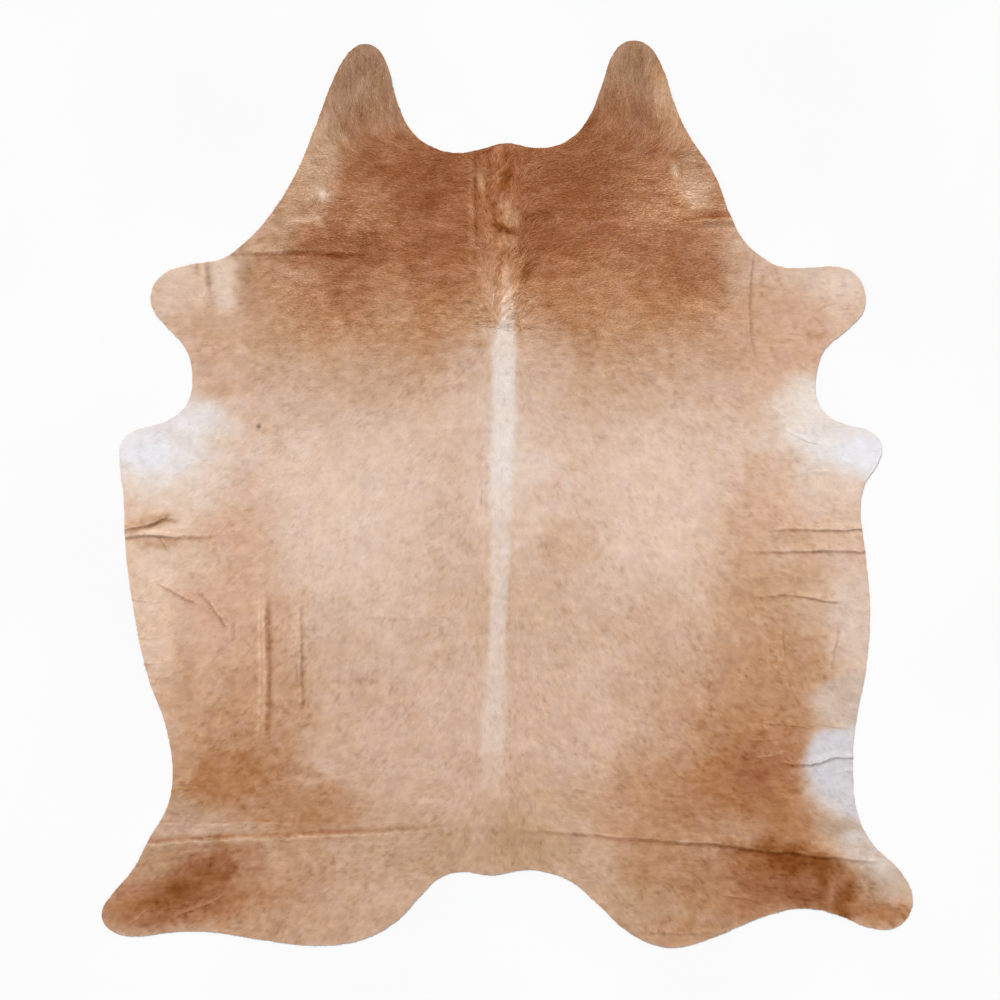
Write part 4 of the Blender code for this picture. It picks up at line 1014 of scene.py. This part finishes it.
# A tone with this much green is as lively as the steps say, and a darker one is livelier
PLAIN_GREEN, LIVELIER = 0.74, 2.5
LEAST_LIFE, MOST_LIFE = 0.30, 1.70


def neck_share(x, y):
    """1 on the neck, where the hair is longest and wildest, 0 on the body."""
    from_side = NECK_HALF_WIDTH - np.abs(x - SPINE)
    return ease((y - NECK_FROM) / NECK_FADE) * ease(from_side / NECK_SIDE_FADE)


def drift(x, y, rows, neck, seed):
    """Layers of noise, each as its size, its step on the body and its step on the neck."""
    layers = [(size, blend(on_body, on_neck, neck), number)
              for number, (size, on_body, on_neck) in enumerate(rows)]
    return clouds(x, y, layers, seed)


def streaks(x, y, lie, width, reach, seed):
    """Noise drawn out along the hair, from about -1 to 1."""
    total = 0
    for ahead in np.linspace(-reach / 2, reach / 2, STREAK_READINGS):
        total = total + cloud(x + lie[..., 0] * ahead, y + lie[..., 1] * ahead, width, seed)
    return total / STREAK_EVENER


def tint(x, y, lie):
    """The colour of the coat at each place, as seen, with painted shade and highlights on the folds and
    the neck painted lighter.
    """
    neck = neck_share(x, y)
    # On the neck the streaks follow the comb; on the body only level dashes show.
    way = lie * neck[..., None] + LEVEL * (1 - neck[..., None])
    step = drift(x, y, DRIFTS, neck, 41)
    for seed, (width, reach, on_body, on_neck) in enumerate(STREAKS):
        step = step + blend(on_body, on_neck, neck) * streaks(x, y, way, width, reach, 51 + seed)
    gather = ease((cloud(x, y, GATHER_SIZE, 62) - GATHER_FROM) / GATHER_FADE)
    speck = ease((cloud(x, y, SPECK_SIZE, 63) - SPECK_FROM) / SPECK_FADE) * gather * (1 - neck)
    # The neck is painted lighter, to make up for the deeper shade among its long locks.
    tone = tones.read(x, y) * (1 + NECK_SHADE_LIFT * neck)[..., None]
    # Pale hair hides most of this, and brown hair shows it.
    life = np.clip(1 + LIVELIER * (PLAIN_GREEN - tone[..., 1]), LEAST_LIFE, MOST_LIFE)
    step = blend(life, 1, neck) * (step - SPECK * speck)
    tone = tone + step[..., None] * PALER + clouds(x, y, WARMTH)[..., None] * WARMER
    # Painted shade in the feet of the folds, and a painted highlight on their tops.
    return tone - feet.read(x, y)[..., None] * FOOT_SHADE_STEP + tops.read(x, y)[..., None] * TOP_HIGHLIGHT_STEP


for where, along in (("neck", 0.70), ("loin", -0.50)):
    seen = tint(np.array((0.30,)), np.array((along,)), LEVEL[None])[0]
    print(where, "red, green and blue as seen", seen.round(2))

# %% [markdown]
# The coat.
# Cow hair is short and lies flat in small locks that overlap like shingles. One
# lock is modelled once: a kite of two faces, creased down its middle so that it
# catches the light on one side. Real hair curves would need millions of strands
# and leave nothing in an exported model. Copies of the kite, placed from arrays,
# make a coat of a third of a million locks in four pieces, each running from the
# neck to the tail.

# %% One lock, its root at the origin, one long and one wide
LOCK_WAIST, WAIST_DROP = 0.42, 0.25


def take_apart(lock):
    """The places of a modelled lock, as (along, across, up), and the corners of its faces."""
    lock.verts.index_update()
    places = np.array([corner.co for corner in lock.verts])
    faces = np.array([[corner.index for corner in face.verts] for face in lock.faces])
    lock.free()
    return places, faces


def short_lock():
    """A kite of two faces, rising from its root and creased down its middle."""
    lock = bmesh.new()
    corners = bmesh.ops.create_circle(lock, cap_ends=True, radius=0.5, segments=4)["verts"]
    bmesh.ops.translate(lock, verts=corners, vec=(0.5, 0, 0))
    root, *waist, tip = sorted(corners, key=lambda corner: corner.co.x)
    tip.co.z = tip.co.x
    for corner in waist:
        corner.co.x = LOCK_WAIST
        corner.co.z = LOCK_WAIST - WAIST_DROP
    bmesh.ops.connect_verts(lock, verts=[root, tip])
    lock.normal_update()
    if sum(face.normal.z for face in lock.faces) < 0:
        bmesh.ops.reverse_faces(lock, faces=lock.faces)
    return take_apart(lock)


kite = short_lock()
print("a lock has", len(kite[0]), "corners and", len(kite[1]), "faces")

# %% Plant copies of a lock on the leather
BAKE_MAP = "OFBake"
ROOT_LIFT = 0.00015
# A lock is darker at its root and paler at its tip, in full on the neck, and on the body by a share
ROOT_STEP, TIP_GAIN = -0.028, 0.048
BODY_STEPS = 0.25
STRAND_KINDS = 97


def stand(name, data):
    """Put an object in the scene."""
    thing = bpy.data.objects.new(name, data)
    bpy.context.scene.collection.objects.link(thing)
    return thing


def lock_colours(flat, lie, along, own):
    """The linear colour of every corner: its place's tint, its lock's own step, paler to the tip."""
    x, y = flat[..., 0], flat[..., 1]
    share = blend(BODY_STEPS, 1, neck_share(x, y))
    step = own[:, None] + (ROOT_STEP + TIP_GAIN * along) * share
    colour = np.ones((*x.shape, 4))
    colour[..., :3] = as_light(tint(x, y, lie[:, None, :]) + step[..., None] * PALER)
    return colour


def plant(name, pattern, roots, lie, length, width, rise, own, map_place):
    """Join one copy of a lock for each root into a single piece."""
    places, faces = pattern
    along, across, up = places.T
    side = np.stack((-lie[:, 1], lie[:, 0]), axis=1)
    flat = (roots[:, None, :] + lie[:, None, :] * (along * length[:, None])[..., None]
            + side[:, None, :] * (across * width[:, None])[..., None])
    ground = heights.read(flat[..., 0], flat[..., 1]) + LEATHER + ROOT_LIFT
    corners = np.concatenate((flat, (ground + up * rise[:, None])[..., None]), axis=2)
    count, size = len(roots), len(places)
    corner_of_face = (faces[None] + (np.arange(count) * size)[:, None, None]).reshape(-1, faces.shape[1])
    mesh = bpy.data.meshes.new(name)
    mesh.vertices.add(count * size)
    mesh.vertices.foreach_set("co", corners.reshape(-1))
    mesh.loops.add(corner_of_face.size)
    mesh.loops.foreach_set("vertex_index", corner_of_face.reshape(-1))
    mesh.polygons.add(len(corner_of_face))
    mesh.polygons.foreach_set("loop_start", np.arange(len(corner_of_face)) * faces.shape[1])
    mesh.update(calc_edges=True)
    mesh.shade_smooth()
    layer = mesh.color_attributes.new("tone", "FLOAT_COLOR", "POINT")
    layer.data.foreach_set("color", lock_colours(flat, lie, along, own).reshape(-1))
    strand = np.zeros((count, size, 3))
    strand[..., 0] = along
    strand[..., 1] = across
    strand[..., 2] = (np.arange(count) % STRAND_KINDS / STRAND_KINDS)[:, None]
    layer = mesh.attributes.new("strand", "FLOAT_VECTOR", "POINT")
    layer.data.foreach_set("vector", strand.reshape(-1))
    flat_map = map_place(flat).reshape(-1, 2)
    layer = mesh.uv_layers.new(name=BAKE_MAP)
    layer.uv.foreach_set("vector", flat_map[corner_of_face.reshape(-1)].reshape(-1))
    return stand(name, mesh)


# %% Scatter the roots
LOCK_SPACING = 0.00318
ROOT_FROM_RIM = 0.0006
rng = np.random.default_rng(7)


def scatter():
    """Roots on an even grid, each shaken off its place, as far as the rim."""
    across = np.arange(cad_low.x, cad_high.x, LOCK_SPACING)
    along = np.arange(cad_low.y, cad_high.y, LOCK_SPACING)
    x, y = np.meshgrid(across, along)
    x = x + rng.uniform(-0.5, 0.5, x.shape) * LOCK_SPACING
    y = y + rng.uniform(-0.5, 0.5, y.shape) * LOCK_SPACING
    roots = np.stack((x.ravel(), y.ravel()), axis=1)
    return roots[rim_gap.read(roots[:, 0], roots[:, 1]) < -ROOT_FROM_RIM]


roots = scatter()
print(len(roots), "locks")

# %% Comb and trim the locks
BODY_LENGTH, NECK_LENGTH, LEG_LENGTH, LENGTH_SPREAD = 0.0088, 0.0180, 0.0084, (0.7, 1.3)
BODY_WIDTH, NECK_WIDTH, WIDTH_SPREAD = 0.0042, 0.0025, (0.75, 1.25)
BODY_RISE, NECK_RISE, RISE_SPREAD = 0.00035, 0.0013, (0.6, 1.4)
LEGS_FROM, LEGS_FADE = 0.70, 0.15
# How far the hair sways off the comb, in radians: size of the waves, on the body and on the neck,
# and how far each lock sways by itself on the body and on the neck
SWAYS = ((0.030, 0.12, 0.26), (0.011, 0.10, 0.20))
OWN_SWAY = (0.12, 0.20)
RIM_OVERHANG = 0.0004
SHORTEST = 0.07
OVER_FOLDS, STEEP_CLIMB = 0.50, 0.0025


def trimmed(roots, lie, length, overhang):
    """Shorten the locks whose tips would stand too far over the rim."""
    tips = roots + lie * length[:, None]
    here = rim_gap.read(roots[:, 0], roots[:, 1])
    there = rim_gap.read(tips[:, 0], tips[:, 1])
    share = (overhang - here) / np.maximum(there - here, TINY)
    return length * np.clip(np.where(there > overhang, share, 1), SHORTEST, 1)


def laid_into_folds(roots, lie, length):
    """Shorten the locks that would bridge a fold, so that the coat follows it."""
    tips = roots + lie * length[:, None]
    climb = np.abs(heights.read(*tips.T) - heights.read(*roots.T))
    return length * (1 - OVER_FOLDS * ease(climb / STEEP_CLIMB))


x, y = roots.T
neck = neck_share(x, y)
legs = ease((np.abs(x) - LEGS_FROM) / LEGS_FADE)
sway = drift(x, y, SWAYS, neck, 31)
lie = turned(comb(x, y), sway + rng.normal(0, 1, len(x)) * blend(*OWN_SWAY, neck))
length = blend(BODY_LENGTH, NECK_LENGTH, neck) + (LEG_LENGTH - BODY_LENGTH) * legs
length = laid_into_folds(roots, lie, length * rng.uniform(*LENGTH_SPREAD, len(x)))
width = blend(BODY_WIDTH, NECK_WIDTH, neck) * rng.uniform(*WIDTH_SPREAD, len(x))
rise = blend(BODY_RISE, NECK_RISE, neck) * rng.uniform(*RISE_SPREAD, len(x))
print(f"the sway runs from {np.degrees(sway.min()):.0f} to {np.degrees(sway.max()):.0f} degrees")

# %% [markdown]
# Flecks.
# Among the locks lie pale and dark ones: the pale ones are paler hairs with
# painted glints of curled tips, and the dark ones are painted shade at the
# roots. They are few and faint on the body, and many on the neck, thickest on
# the two cheeks. They are shorter and lie on top, which is why they show.

# %% Choose the flecks
# Each cheek: its middle, its reach across and its reach along
CHEEKS = ((-0.37, 0.68, 0.10, 0.08), (0.37, 0.74, 0.11, 0.09))
# So large a share of the locks is pale, and as large a one dark, but the cheeks have more pale ones only.
# The last is the size of the clumps in which the pale ones gather.
BODY_FLECKS, NECK_FLECKS, CHEEK_FLECKS, FLECKS_GATHER = 0.020, 0.065, 0.24, 0.020
FLECK_LENGTH, FLECK_WIDTH, FLECK_LIFT = 0.65, 0.80, 0.0003
BODY_OWN, NECK_OWN = 0.003, 0.017
PALE_STEPS, DARK_STEPS = (0.02, 0.04), (0.02, 0.05)
# What the flecks gain in strength on the neck, and the pale ones on the cheeks too
PALE_LOUDER, DARK_LOUDER = 2.2, 1.0


def cheek_share(x, y):
    """1 in the middle of each cheek, fading outwards."""
    share = 0
    for across, along, reach_across, reach_along in CHEEKS:
        share = share + np.exp(-((x - across) / reach_across) ** 2 - ((y - along) / reach_along) ** 2)
    return share


cheek = cheek_share(x, y)
often = blend(BODY_FLECKS, NECK_FLECKS, neck)
gathered = 1 + cloud(x, y, FLECKS_GATHER, 61)
# Pale flecks: paler hairs with painted glints of curled tips; dark flecks: painted shade at the roots
pale = rng.random(len(x)) < (often + CHEEK_FLECKS * cheek) * gathered
dark = ~pale & (rng.random(len(x)) < often)
own = rng.normal(0, blend(BODY_OWN, NECK_OWN, neck), len(x))
own += pale * rng.uniform(*PALE_STEPS, len(x)) * (1 + PALE_LOUDER * (neck + cheek))
own -= dark * rng.uniform(*DARK_STEPS, len(x)) * (1 + DARK_LOUDER * neck)
fleck = pale | dark
length = trimmed(roots, lie, length * np.where(fleck, FLECK_LENGTH, 1), RIM_OVERHANG)
width = width * np.where(fleck, FLECK_WIDTH, 1)
rise = rise + FLECK_LIFT * fleck
print(f"{fleck.sum()} of the locks are flecks; the mean lock is {length.mean() * 1000:.1f} mm long")

# %% Plant the coat in four lengths
MAP_MARGIN = 0.025
COAT_PARTS = (("coat_left_side", cad_low.x, -0.46), ("coat_left_back", -0.46, SPINE),
              ("coat_right_back", SPINE, 0.44), ("coat_right_side", 0.44, cad_high.x))


def two_columns(left, right, fore):
    """A map that lays a length of coat in two columns, its tail half beside its neck half."""
    wide = right - left + 2 * MAP_MARGIN
    half = HIDE_LENGTH / 2 + 2 * MAP_MARGIN

    def place(flat):
        column = (flat[..., 0] - left + MAP_MARGIN) / wide
        start = np.where(fore, 0.0, cad_low.y)[:, None]
        row = (flat[..., 1] - start + MAP_MARGIN) / half
        return np.stack(((column + np.where(fore, 1, 0)[:, None]) / 2, row), axis=-1)

    return place


coat = []
for part_name, left, right in COAT_PARTS:
    mine = (x >= left) & (x < right)
    planted = plant(part_name, kite, roots[mine], lie[mine], length[mine], width[mine],
                    rise[mine], own[mine], two_columns(left, right, y[mine] > 0))
    coat.append(planted)
    print(part_name, len(planted.data.polygons), "faces")

# %% [markdown]
# The crest.
# Down the middle of the neck the hair is longer and curls in loose tufts, and
# where the crest meets the back it bursts open like a fan. Short kites can't
# curl, so these locks are wavy ribbons, tapered and arched, planted over the
# short coat in the same way.

# %% One long lock, its root at the origin
WAVE_DEPTH, WAVE_TURN = 0.55, 5.2
TIP_TAPER = 1.5
ARCH_FROM, ARCH_OVER, ARCH_ROUND, ARCH_SINK = 0.15, 0.70, 1.6, 0.3


def long_lock():
    """A wavy tapering ribbon, arched along its run and across it."""
    lock = bmesh.new()
    bmesh.ops.create_grid(lock, x_segments=5, y_segments=2, size=0.5)
    bmesh.ops.translate(lock, verts=lock.verts, vec=(0.5, 0, 0))
    bmesh.ops.triangulate(lock, faces=lock.faces)
    for corner in lock.verts:
        along, across, _ = corner.co
        taper = math.sqrt(max(1 - along ** TIP_TAPER, 0))
        arch = math.sin(math.pi * (ARCH_FROM + ARCH_OVER * along)) * (1 - ARCH_ROUND * across ** 2)
        corner.co.y = across * taper + WAVE_DEPTH * math.sin(along * WAVE_TURN)
        corner.co.z = arch * (1 - ARCH_SINK * along)
    return take_apart(lock)


ribbon = long_lock()
print("a long lock has", len(ribbon[0]), "corners and", len(ribbon[1]), "faces")

# %% Plant the crest
CREST_LOCKS = 2600
CREST_MIDDLE, CREST_HALF_WIDTH, CREST_STRAY = SPINE + 0.004, 0.079, 0.010
CREST_FROM, CREST_TO = 0.415, 0.876
CREST_FROM_RIM = 0.008
CREST_SWAYS, CREST_OWN_SWAY = ((0.024, 1.0, 81), (0.010, 0.6, 83)), 0.16
CREST_LENGTH, CREST_WIDTHS, CREST_RISES = 0.019, (0.0020, 0.0036), (0.0012, 0.0032)
CREST_STREAK, CREST_STREAK_WIDTH, CREST_STREAK_LENGTH, CREST_OWN = 0.085, 0.007, 0.030, 0.016
CREST_MAP = (-0.16, 0.16)
LONG_SPREAD = (0.6, 1.3)
# The cube crowds the locks towards the middle of the crest.
crest = np.stack((CREST_MIDDLE + CREST_HALF_WIDTH * rng.uniform(-1, 1, CREST_LOCKS) ** 3
                  + rng.normal(0, CREST_STRAY, CREST_LOCKS),
                  rng.uniform(CREST_FROM, CREST_TO, CREST_LOCKS)), axis=1)
crest = crest[rim_gap.read(*crest.T) < -CREST_FROM_RIM]
count = len(crest)
crest_sway = clouds(*crest.T, CREST_SWAYS)
crest_lie = turned(comb(*crest.T), crest_sway + rng.normal(0, CREST_OWN_SWAY, count))
crest_length = trimmed(crest, crest_lie, CREST_LENGTH * rng.uniform(*LONG_SPREAD, count),
                       -CREST_FROM_RIM / 2)
crest_own = (CREST_STREAK * streaks(*crest.T, crest_lie, CREST_STREAK_WIDTH, CREST_STREAK_LENGTH, 82)
             + rng.normal(0, CREST_OWN, count))
crest_tufts = plant("crest_tufts", ribbon, crest, crest_lie, crest_length,
                    rng.uniform(*CREST_WIDTHS, count), rng.uniform(*CREST_RISES, count),
                    crest_own, two_columns(*CREST_MAP, crest[:, 1] > 0))
coat.append(crest_tufts)
print("crest", len(crest_tufts.data.polygons), "faces")

# %% [markdown]
# The hair over the cut edge.
# Round the rim the coat leans out a little and softens the knife's line. The
# locks of the coat end at the rim, so a second row is planted just inside it,
# short and pointing outwards, and some of it droops over the edge.

# %% Plant the rim hair
RIM_HAIR_SPACING = 0.0011
RIM_HAIR_INSETS = (0.0008, 0.0040)
RIM_HAIR_LENGTH, RIM_HAIR_WIDTH, RIM_HAIR_RISES = 0.0055, 0.0018, (-0.0002, 0.0004)
RIM_HAIR_COMBED, RIM_HAIR_SWAY, RIM_HAIR_OWN = 0.8, 0.18, 0.01


def rim_roots():
    """Places round the rim, each with the way out of the hide."""
    ahead = np.roll(rim_places, -1, axis=0) - rim_places
    run = np.linalg.norm(ahead, axis=1)
    reached = np.concatenate(((0,), np.cumsum(run)))
    stops = np.arange(0, reached[-1], RIM_HAIR_SPACING)
    stretch = np.searchsorted(reached, stops, side="right") - 1
    share = (stops - reached[stretch]) / run[stretch]
    places = rim_places[stretch] + ahead[stretch] * share[:, None]
    out = np.stack((ahead[:, 1], -ahead[:, 0]), axis=1)[stretch] / run[stretch][:, None]
    return places, out


edge, out = rim_roots()
count = len(edge)
edge_lie = comb(*edge.T) * RIM_HAIR_COMBED + out
edge_lie = edge_lie / np.linalg.norm(edge_lie, axis=1)[:, None]
edge_lie = turned(edge_lie, rng.normal(0, RIM_HAIR_SWAY, count))
edge_roots = edge - out * rng.uniform(*RIM_HAIR_INSETS, count)[:, None]
edge_length = RIM_HAIR_LENGTH * rng.uniform(*LONG_SPREAD, count)
edge_length = trimmed(edge_roots, edge_lie, edge_length, RIM_OVERHANG)


def whole_map(flat):
    """A map of the whole hide, seen from above."""
    return np.stack(((flat[..., 0] - cad_low.x + MAP_MARGIN) / (HIDE_WIDTH + 2 * MAP_MARGIN),
                     (flat[..., 1] - cad_low.y + MAP_MARGIN) / (HIDE_LENGTH + 2 * MAP_MARGIN)), axis=-1)


rim_hair = plant("rim_hair", kite, edge_roots, edge_lie, edge_length,
                 np.full(count, RIM_HAIR_WIDTH), rng.uniform(*RIM_HAIR_RISES, count),
                 rng.normal(0, RIM_HAIR_OWN, count), whole_map)
coat.append(rim_hair)
print("rim hair", len(rim_hair.data.polygons), "faces")

# %% [markdown]
# Finish of the leather and the hair.
# The colours of the coat are already on the locks. The materials add what is
# finer than a lock: strands along each one, a soft gloss and a fibrous nap on
# the suede. Shader sums read like Python because one small class wraps a socket.

# %% A socket that takes part in sums
class Strand:
    """One socket of a material, so that its maths reads as Python."""

    def __init__(self, tree, socket=None):
        self.tree = tree
        self.socket = socket

    def node(self, kind, settings=None, inputs=None, output=0):
        """Add a node from its type, its settings, and the values or links of its sockets."""
        made = self.tree.nodes.new(kind)
        for name, setting in (settings or {}).items():
            setattr(made, name, setting)
        for name, value in (inputs or {}).items():
            if isinstance(value, Strand):
                self.tree.links.new(value.socket, made.inputs[name])
            else:
                made.inputs[name].default_value = value
        return Strand(self.tree, made.outputs[output])

    def maths(self, operation, first, second):
        """A sum of two values, either of which may be a plain number."""
        return self.node("ShaderNodeMath", {"operation": operation}, {0: first, 1: second})

    def __add__(self, other):
        return self.maths("ADD", self, other)

    __radd__ = __add__

    def __mul__(self, other):
        return self.maths("MULTIPLY", self, other)

    __rmul__ = __mul__

    def place(self):
        """Where a point lies on its own piece."""
        return self.node("ShaderNodeTexCoord", output="Object")

    def carried(self, attribute, output):
        """What the piece carries at each corner under a name."""
        return self.node("ShaderNodeAttribute", {"attribute_name": attribute}, output=output)

    def noise(self, scale, detail, output=0, **more):
        """Noise, read at this place."""
        inputs = {"Vector": self, "Scale": scale, "Detail": detail, **more}
        return self.node("ShaderNodeTexNoise", inputs=inputs, output=output)

    def bump(self, strength, distance):
        """A fine relief with this for its height."""
        return self.node("ShaderNodeBump",
                         inputs={"Height": self, "Strength": strength, "Distance": distance})

    def ramp(self, *stops):
        """A tone for each value of this, between two stops given as (value, tone)."""
        made = self.node("ShaderNodeValToRGB", inputs={"Fac": self})
        for stop, (value, tone) in zip(made.socket.node.color_ramp.elements, stops):
            stop.position = value
            stop.color = (*as_light(paint(tone)), 1)
        return made

    def scaled(self, factor):
        """A colour made lighter or darker by a factor."""
        return self.node("ShaderNodeVectorMath", {"operation": "SCALE"}, {0: self, "Scale": factor})

    def between(self, low, high):
        """Blend two colours, this being 0 for the first and 1 for the second."""
        return self.node("ShaderNodeMix", {"data_type": "RGBA"},
                         {"Factor": self, "A": low, "B": high}, output="Result")


def new_finish(name, **constants):
    """A material with constants set on its shader, and a start for its nodes."""
    material = bpy.data.materials.new(name)
    material.use_nodes = True
    shader = material.node_tree.nodes["Principled BSDF"]
    for socket, value in constants.items():
        shader.inputs[socket.replace("_", " ")].default_value = value
    return material, shader, Strand(material.node_tree)


def feed(shader, **sources):
    """Link finished strands to the shader's sockets."""
    for socket, source in sources.items():
        source.tree.links.new(source.socket, shader.inputs[socket.replace("_", " ")])


# %% Hair
def hair_finish():
    """Tan hair: strands along each lock, a soft gloss and a fine grain."""
    material, shader, start = new_finish("cow_hair", Specular_IOR_Level=0.12)
    stretched = start.node("ShaderNodeMapping", inputs={
        "Vector": start.carried("strand", "Vector"), "Scale": (1.5, 7.0, 140.0)})
    strands = stretched.noise(1.0, 2.0)
    grain = start.place().noise(420.0, 2.0)
    light = 0.86 + 0.12 * strands + 0.08 * grain
    feed(shader, Base_Color=start.carried("tone", "Color").scaled(light), Roughness=0.50 + 0.20 * grain,
         Normal=strands.bump(0.20, 0.0004))
    return material


# %% Leather: the haired side between the locks
def grain_finish():
    """The hide's upper side, in the coat's own tone as seen between the locks, darkened a little for
    painted shade under them and for the darker underfur.
    """
    material, shader, start = new_finish("hide_grain", Specular_IOR_Level=0.25)
    place = start.place()
    stubble = place.noise(380.0, 4.0)
    mottle = place.noise(40.0, 3.0)
    # A little darker than the coat: painted shade under the locks, and the darker underfur
    light = 0.77 + 0.22 * stubble + 0.10 * mottle
    feed(shader, Base_Color=start.carried("tone", "Color").scaled(light), Roughness=0.62 + 0.15 * mottle,
         Normal=stubble.bump(0.5, 0.0006))
    return material


# %% Leather: the suede side
def suede_finish():
    """The flesh side: a pale fibrous nap with darker drifts and faint winding veins."""
    material, shader, start = new_finish("suede_underside", Specular_IOR_Level=0.15, Sheen_Weight=0.25)
    place = start.place()
    nap = place.noise(520.0, 6.0, Roughness=0.7)
    ground = place.noise(7.0, 5.0, Distortion=0.8).ramp((0.30, "oat"), (0.72, "linen"))
    winding = start.node("ShaderNodeVectorMath", {"operation": "MULTIPLY_ADD"},
                         {0: place.noise(5.0, 4.0, "Color"), 1: (0.18, 0.18, 0.18), 2: place})
    vein = start.node("ShaderNodeTexVoronoi", {"feature": "DISTANCE_TO_EDGE"},
                      {"Vector": winding, "Scale": 5.0, "Randomness": 1.0})
    lines = start.node("ShaderNodeMapRange", inputs={
        "Value": vein, "From Min": 0.0, "From Max": 0.045, "To Min": 0.955, "To Max": 1.0})
    light = (0.80 + 0.36 * nap) * lines
    feed(shader, Base_Color=ground.scaled(light), Roughness=0.82 + 0.12 * nap,
         Normal=nap.bump(0.6, 0.0008))
    return material


# %% Leather: the cut edge
def cut_finish():
    """The knife's cut, pale through the middle of the skin."""
    material, shader, start = new_finish("cut_leather", Specular_IOR_Level=0.20)
    fibre = start.place().noise(700.0, 4.0, Roughness=0.6)
    feed(shader, Base_Color=fibre.ramp((0.30, "honey"), (0.75, "cream")),
         Roughness=0.75 + 0.15 * fibre, Normal=fibre.bump(0.4, 0.0004))
    return material


# %% Finish the sheet
MAP_EDGE = 0.015


def sheet_map(place, side):
    """The sheet's own map: the haired side on the left half, the suede on the right."""
    across = MAP_EDGE + (0.5 - 2 * MAP_EDGE) * (place.x - cad_low.x) / HIDE_WIDTH
    along = MAP_EDGE + (1 - 2 * MAP_EDGE) * (place.y - cad_low.y) / HIDE_LENGTH
    return (across, along) if side == TOP else (across + 0.5, along)


def finish_sheet(sheet):
    """Turn the leather into an object with its tones, its map and its materials."""
    layer = sheet.loops.layers.uv.new(BAKE_MAP)
    for face in sheet.faces:
        for loop in face.loops:
            loop[layer].uv = sheet_map(loop.vert.co, face.material_index)
    mesh = bpy.data.meshes.new("hide_sheet")
    sheet.to_mesh(mesh)
    x, y = places_of(sheet).T
    colour = np.ones((len(x), 4))
    colour[:, :3] = as_light(tint(x, y, comb(x, y)))
    tone = mesh.color_attributes.new("tone", "FLOAT_COLOR", "POINT")
    tone.data.foreach_set("color", colour.reshape(-1))
    for material in (grain_finish(), suede_finish(), cut_finish()):
        mesh.materials.append(material)
    return stand("hide_sheet", mesh)


hide_sheet = finish_sheet(leather)
leather.free()
hair = hair_finish()
for part in coat:
    part.data.materials.append(hair)
print("sheet faces", len(hide_sheet.data.polygons))

# %% [markdown]
# Floor, light and camera.
# The rug lies on a plain pale floor. One broad soft light comes from the upper
# left, as in a photo studio with a large window, and an even pale surround
# fills the shadows. The camera looks straight down.

# %% The floor
FLOOR_SIZE = 12.0
FLOOR_DROP = 0.0003


def pale_floor():
    """A plain pale floor, a hair's breadth under the leather."""
    sheet = bmesh.new()
    bmesh.ops.create_grid(sheet, x_segments=1, y_segments=1, size=FLOOR_SIZE)
    bmesh.ops.translate(sheet, verts=sheet.verts, vec=(0, 0, -FLOOR_DROP))
    mesh = bpy.data.meshes.new("floor")
    sheet.to_mesh(mesh)
    sheet.free()
    material, shader, start = new_finish("pale_floor", Specular_IOR_Level=0.10)
    cast = start.place().noise(1.5, 2.0)
    tone = cast.between((0.86, 0.86, 0.87, 1), (0.90, 0.90, 0.90, 1))
    feed(shader, Base_Color=tone, Roughness=0.80 + 0.10 * cast)
    mesh.materials.append(material)
    return stand("floor", mesh)


pale_floor()

# %% The light
# Degrees, but for the strengths
LIGHT_BEARING = 120
KEY_HEIGHT, KEY_SOFTNESS = 46, 22
KEY_STRENGTH, FILL_STRENGTH = 2.82, 0.46


def soft_key():
    """A broad light from the upper left."""
    lamp = bpy.data.lights.new("key", "SUN")
    lamp.energy = KEY_STRENGTH
    lamp.angle = math.radians(KEY_SOFTNESS)
    tilt, bearing = math.radians(90 - KEY_HEIGHT), math.radians(LIGHT_BEARING)
    towards = Vector((math.sin(tilt) * math.cos(bearing), math.sin(tilt) * math.sin(bearing),
                      math.cos(tilt)))
    stand("key", lamp).rotation_euler = towards.to_track_quat("Z", "Y").to_euler()


def even_fill():
    """A pale surround that lights every side alike."""
    world = bpy.data.worlds.new("surround")
    world.use_nodes = True
    sky = world.node_tree.nodes["Background"]
    sky.inputs["Color"].default_value = (1.0, 1.0, 1.0, 1)
    sky.inputs["Strength"].default_value = FILL_STRENGTH
    bpy.context.scene.world = world


soft_key()
even_fill()
bpy.context.scene.view_settings.view_transform = "Standard"
print(f"the light stands {KEY_HEIGHT} degrees high, and the surround is {FILL_STRENGTH} bright")

# %% The camera
LENS, SENSOR = 85, 36
VIEW_SPAN = 2.500
VIEW_MIDDLE = Vector((-0.0175, -0.0150, 0))


def camera_above():
    """A camera straight above the hide, its upper side towards the neck."""
    lens = bpy.data.cameras.new("camera")
    lens.lens = LENS
    lens.sensor_width = SENSOR
    camera = stand("camera", lens)
    camera.location = VIEW_MIDDLE + Vector((0, 0, VIEW_SPAN * LENS / SENSOR))
    bpy.context.scene.camera = camera
    print(f"the camera is {camera.location.z:.2f} m above the floor")


camera_above()

# %% [markdown]
# The leather is a sheet that lies on the floor, and the hair belongs to it. All
# of it rides on the one body, and it stands for the plain solid, which stays for
# resting and collision.

# %% Attach every piece to the one body, and hide the solid
for part in coat:
    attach(part, "root")
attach(hide_sheet, "root")
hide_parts("hide")
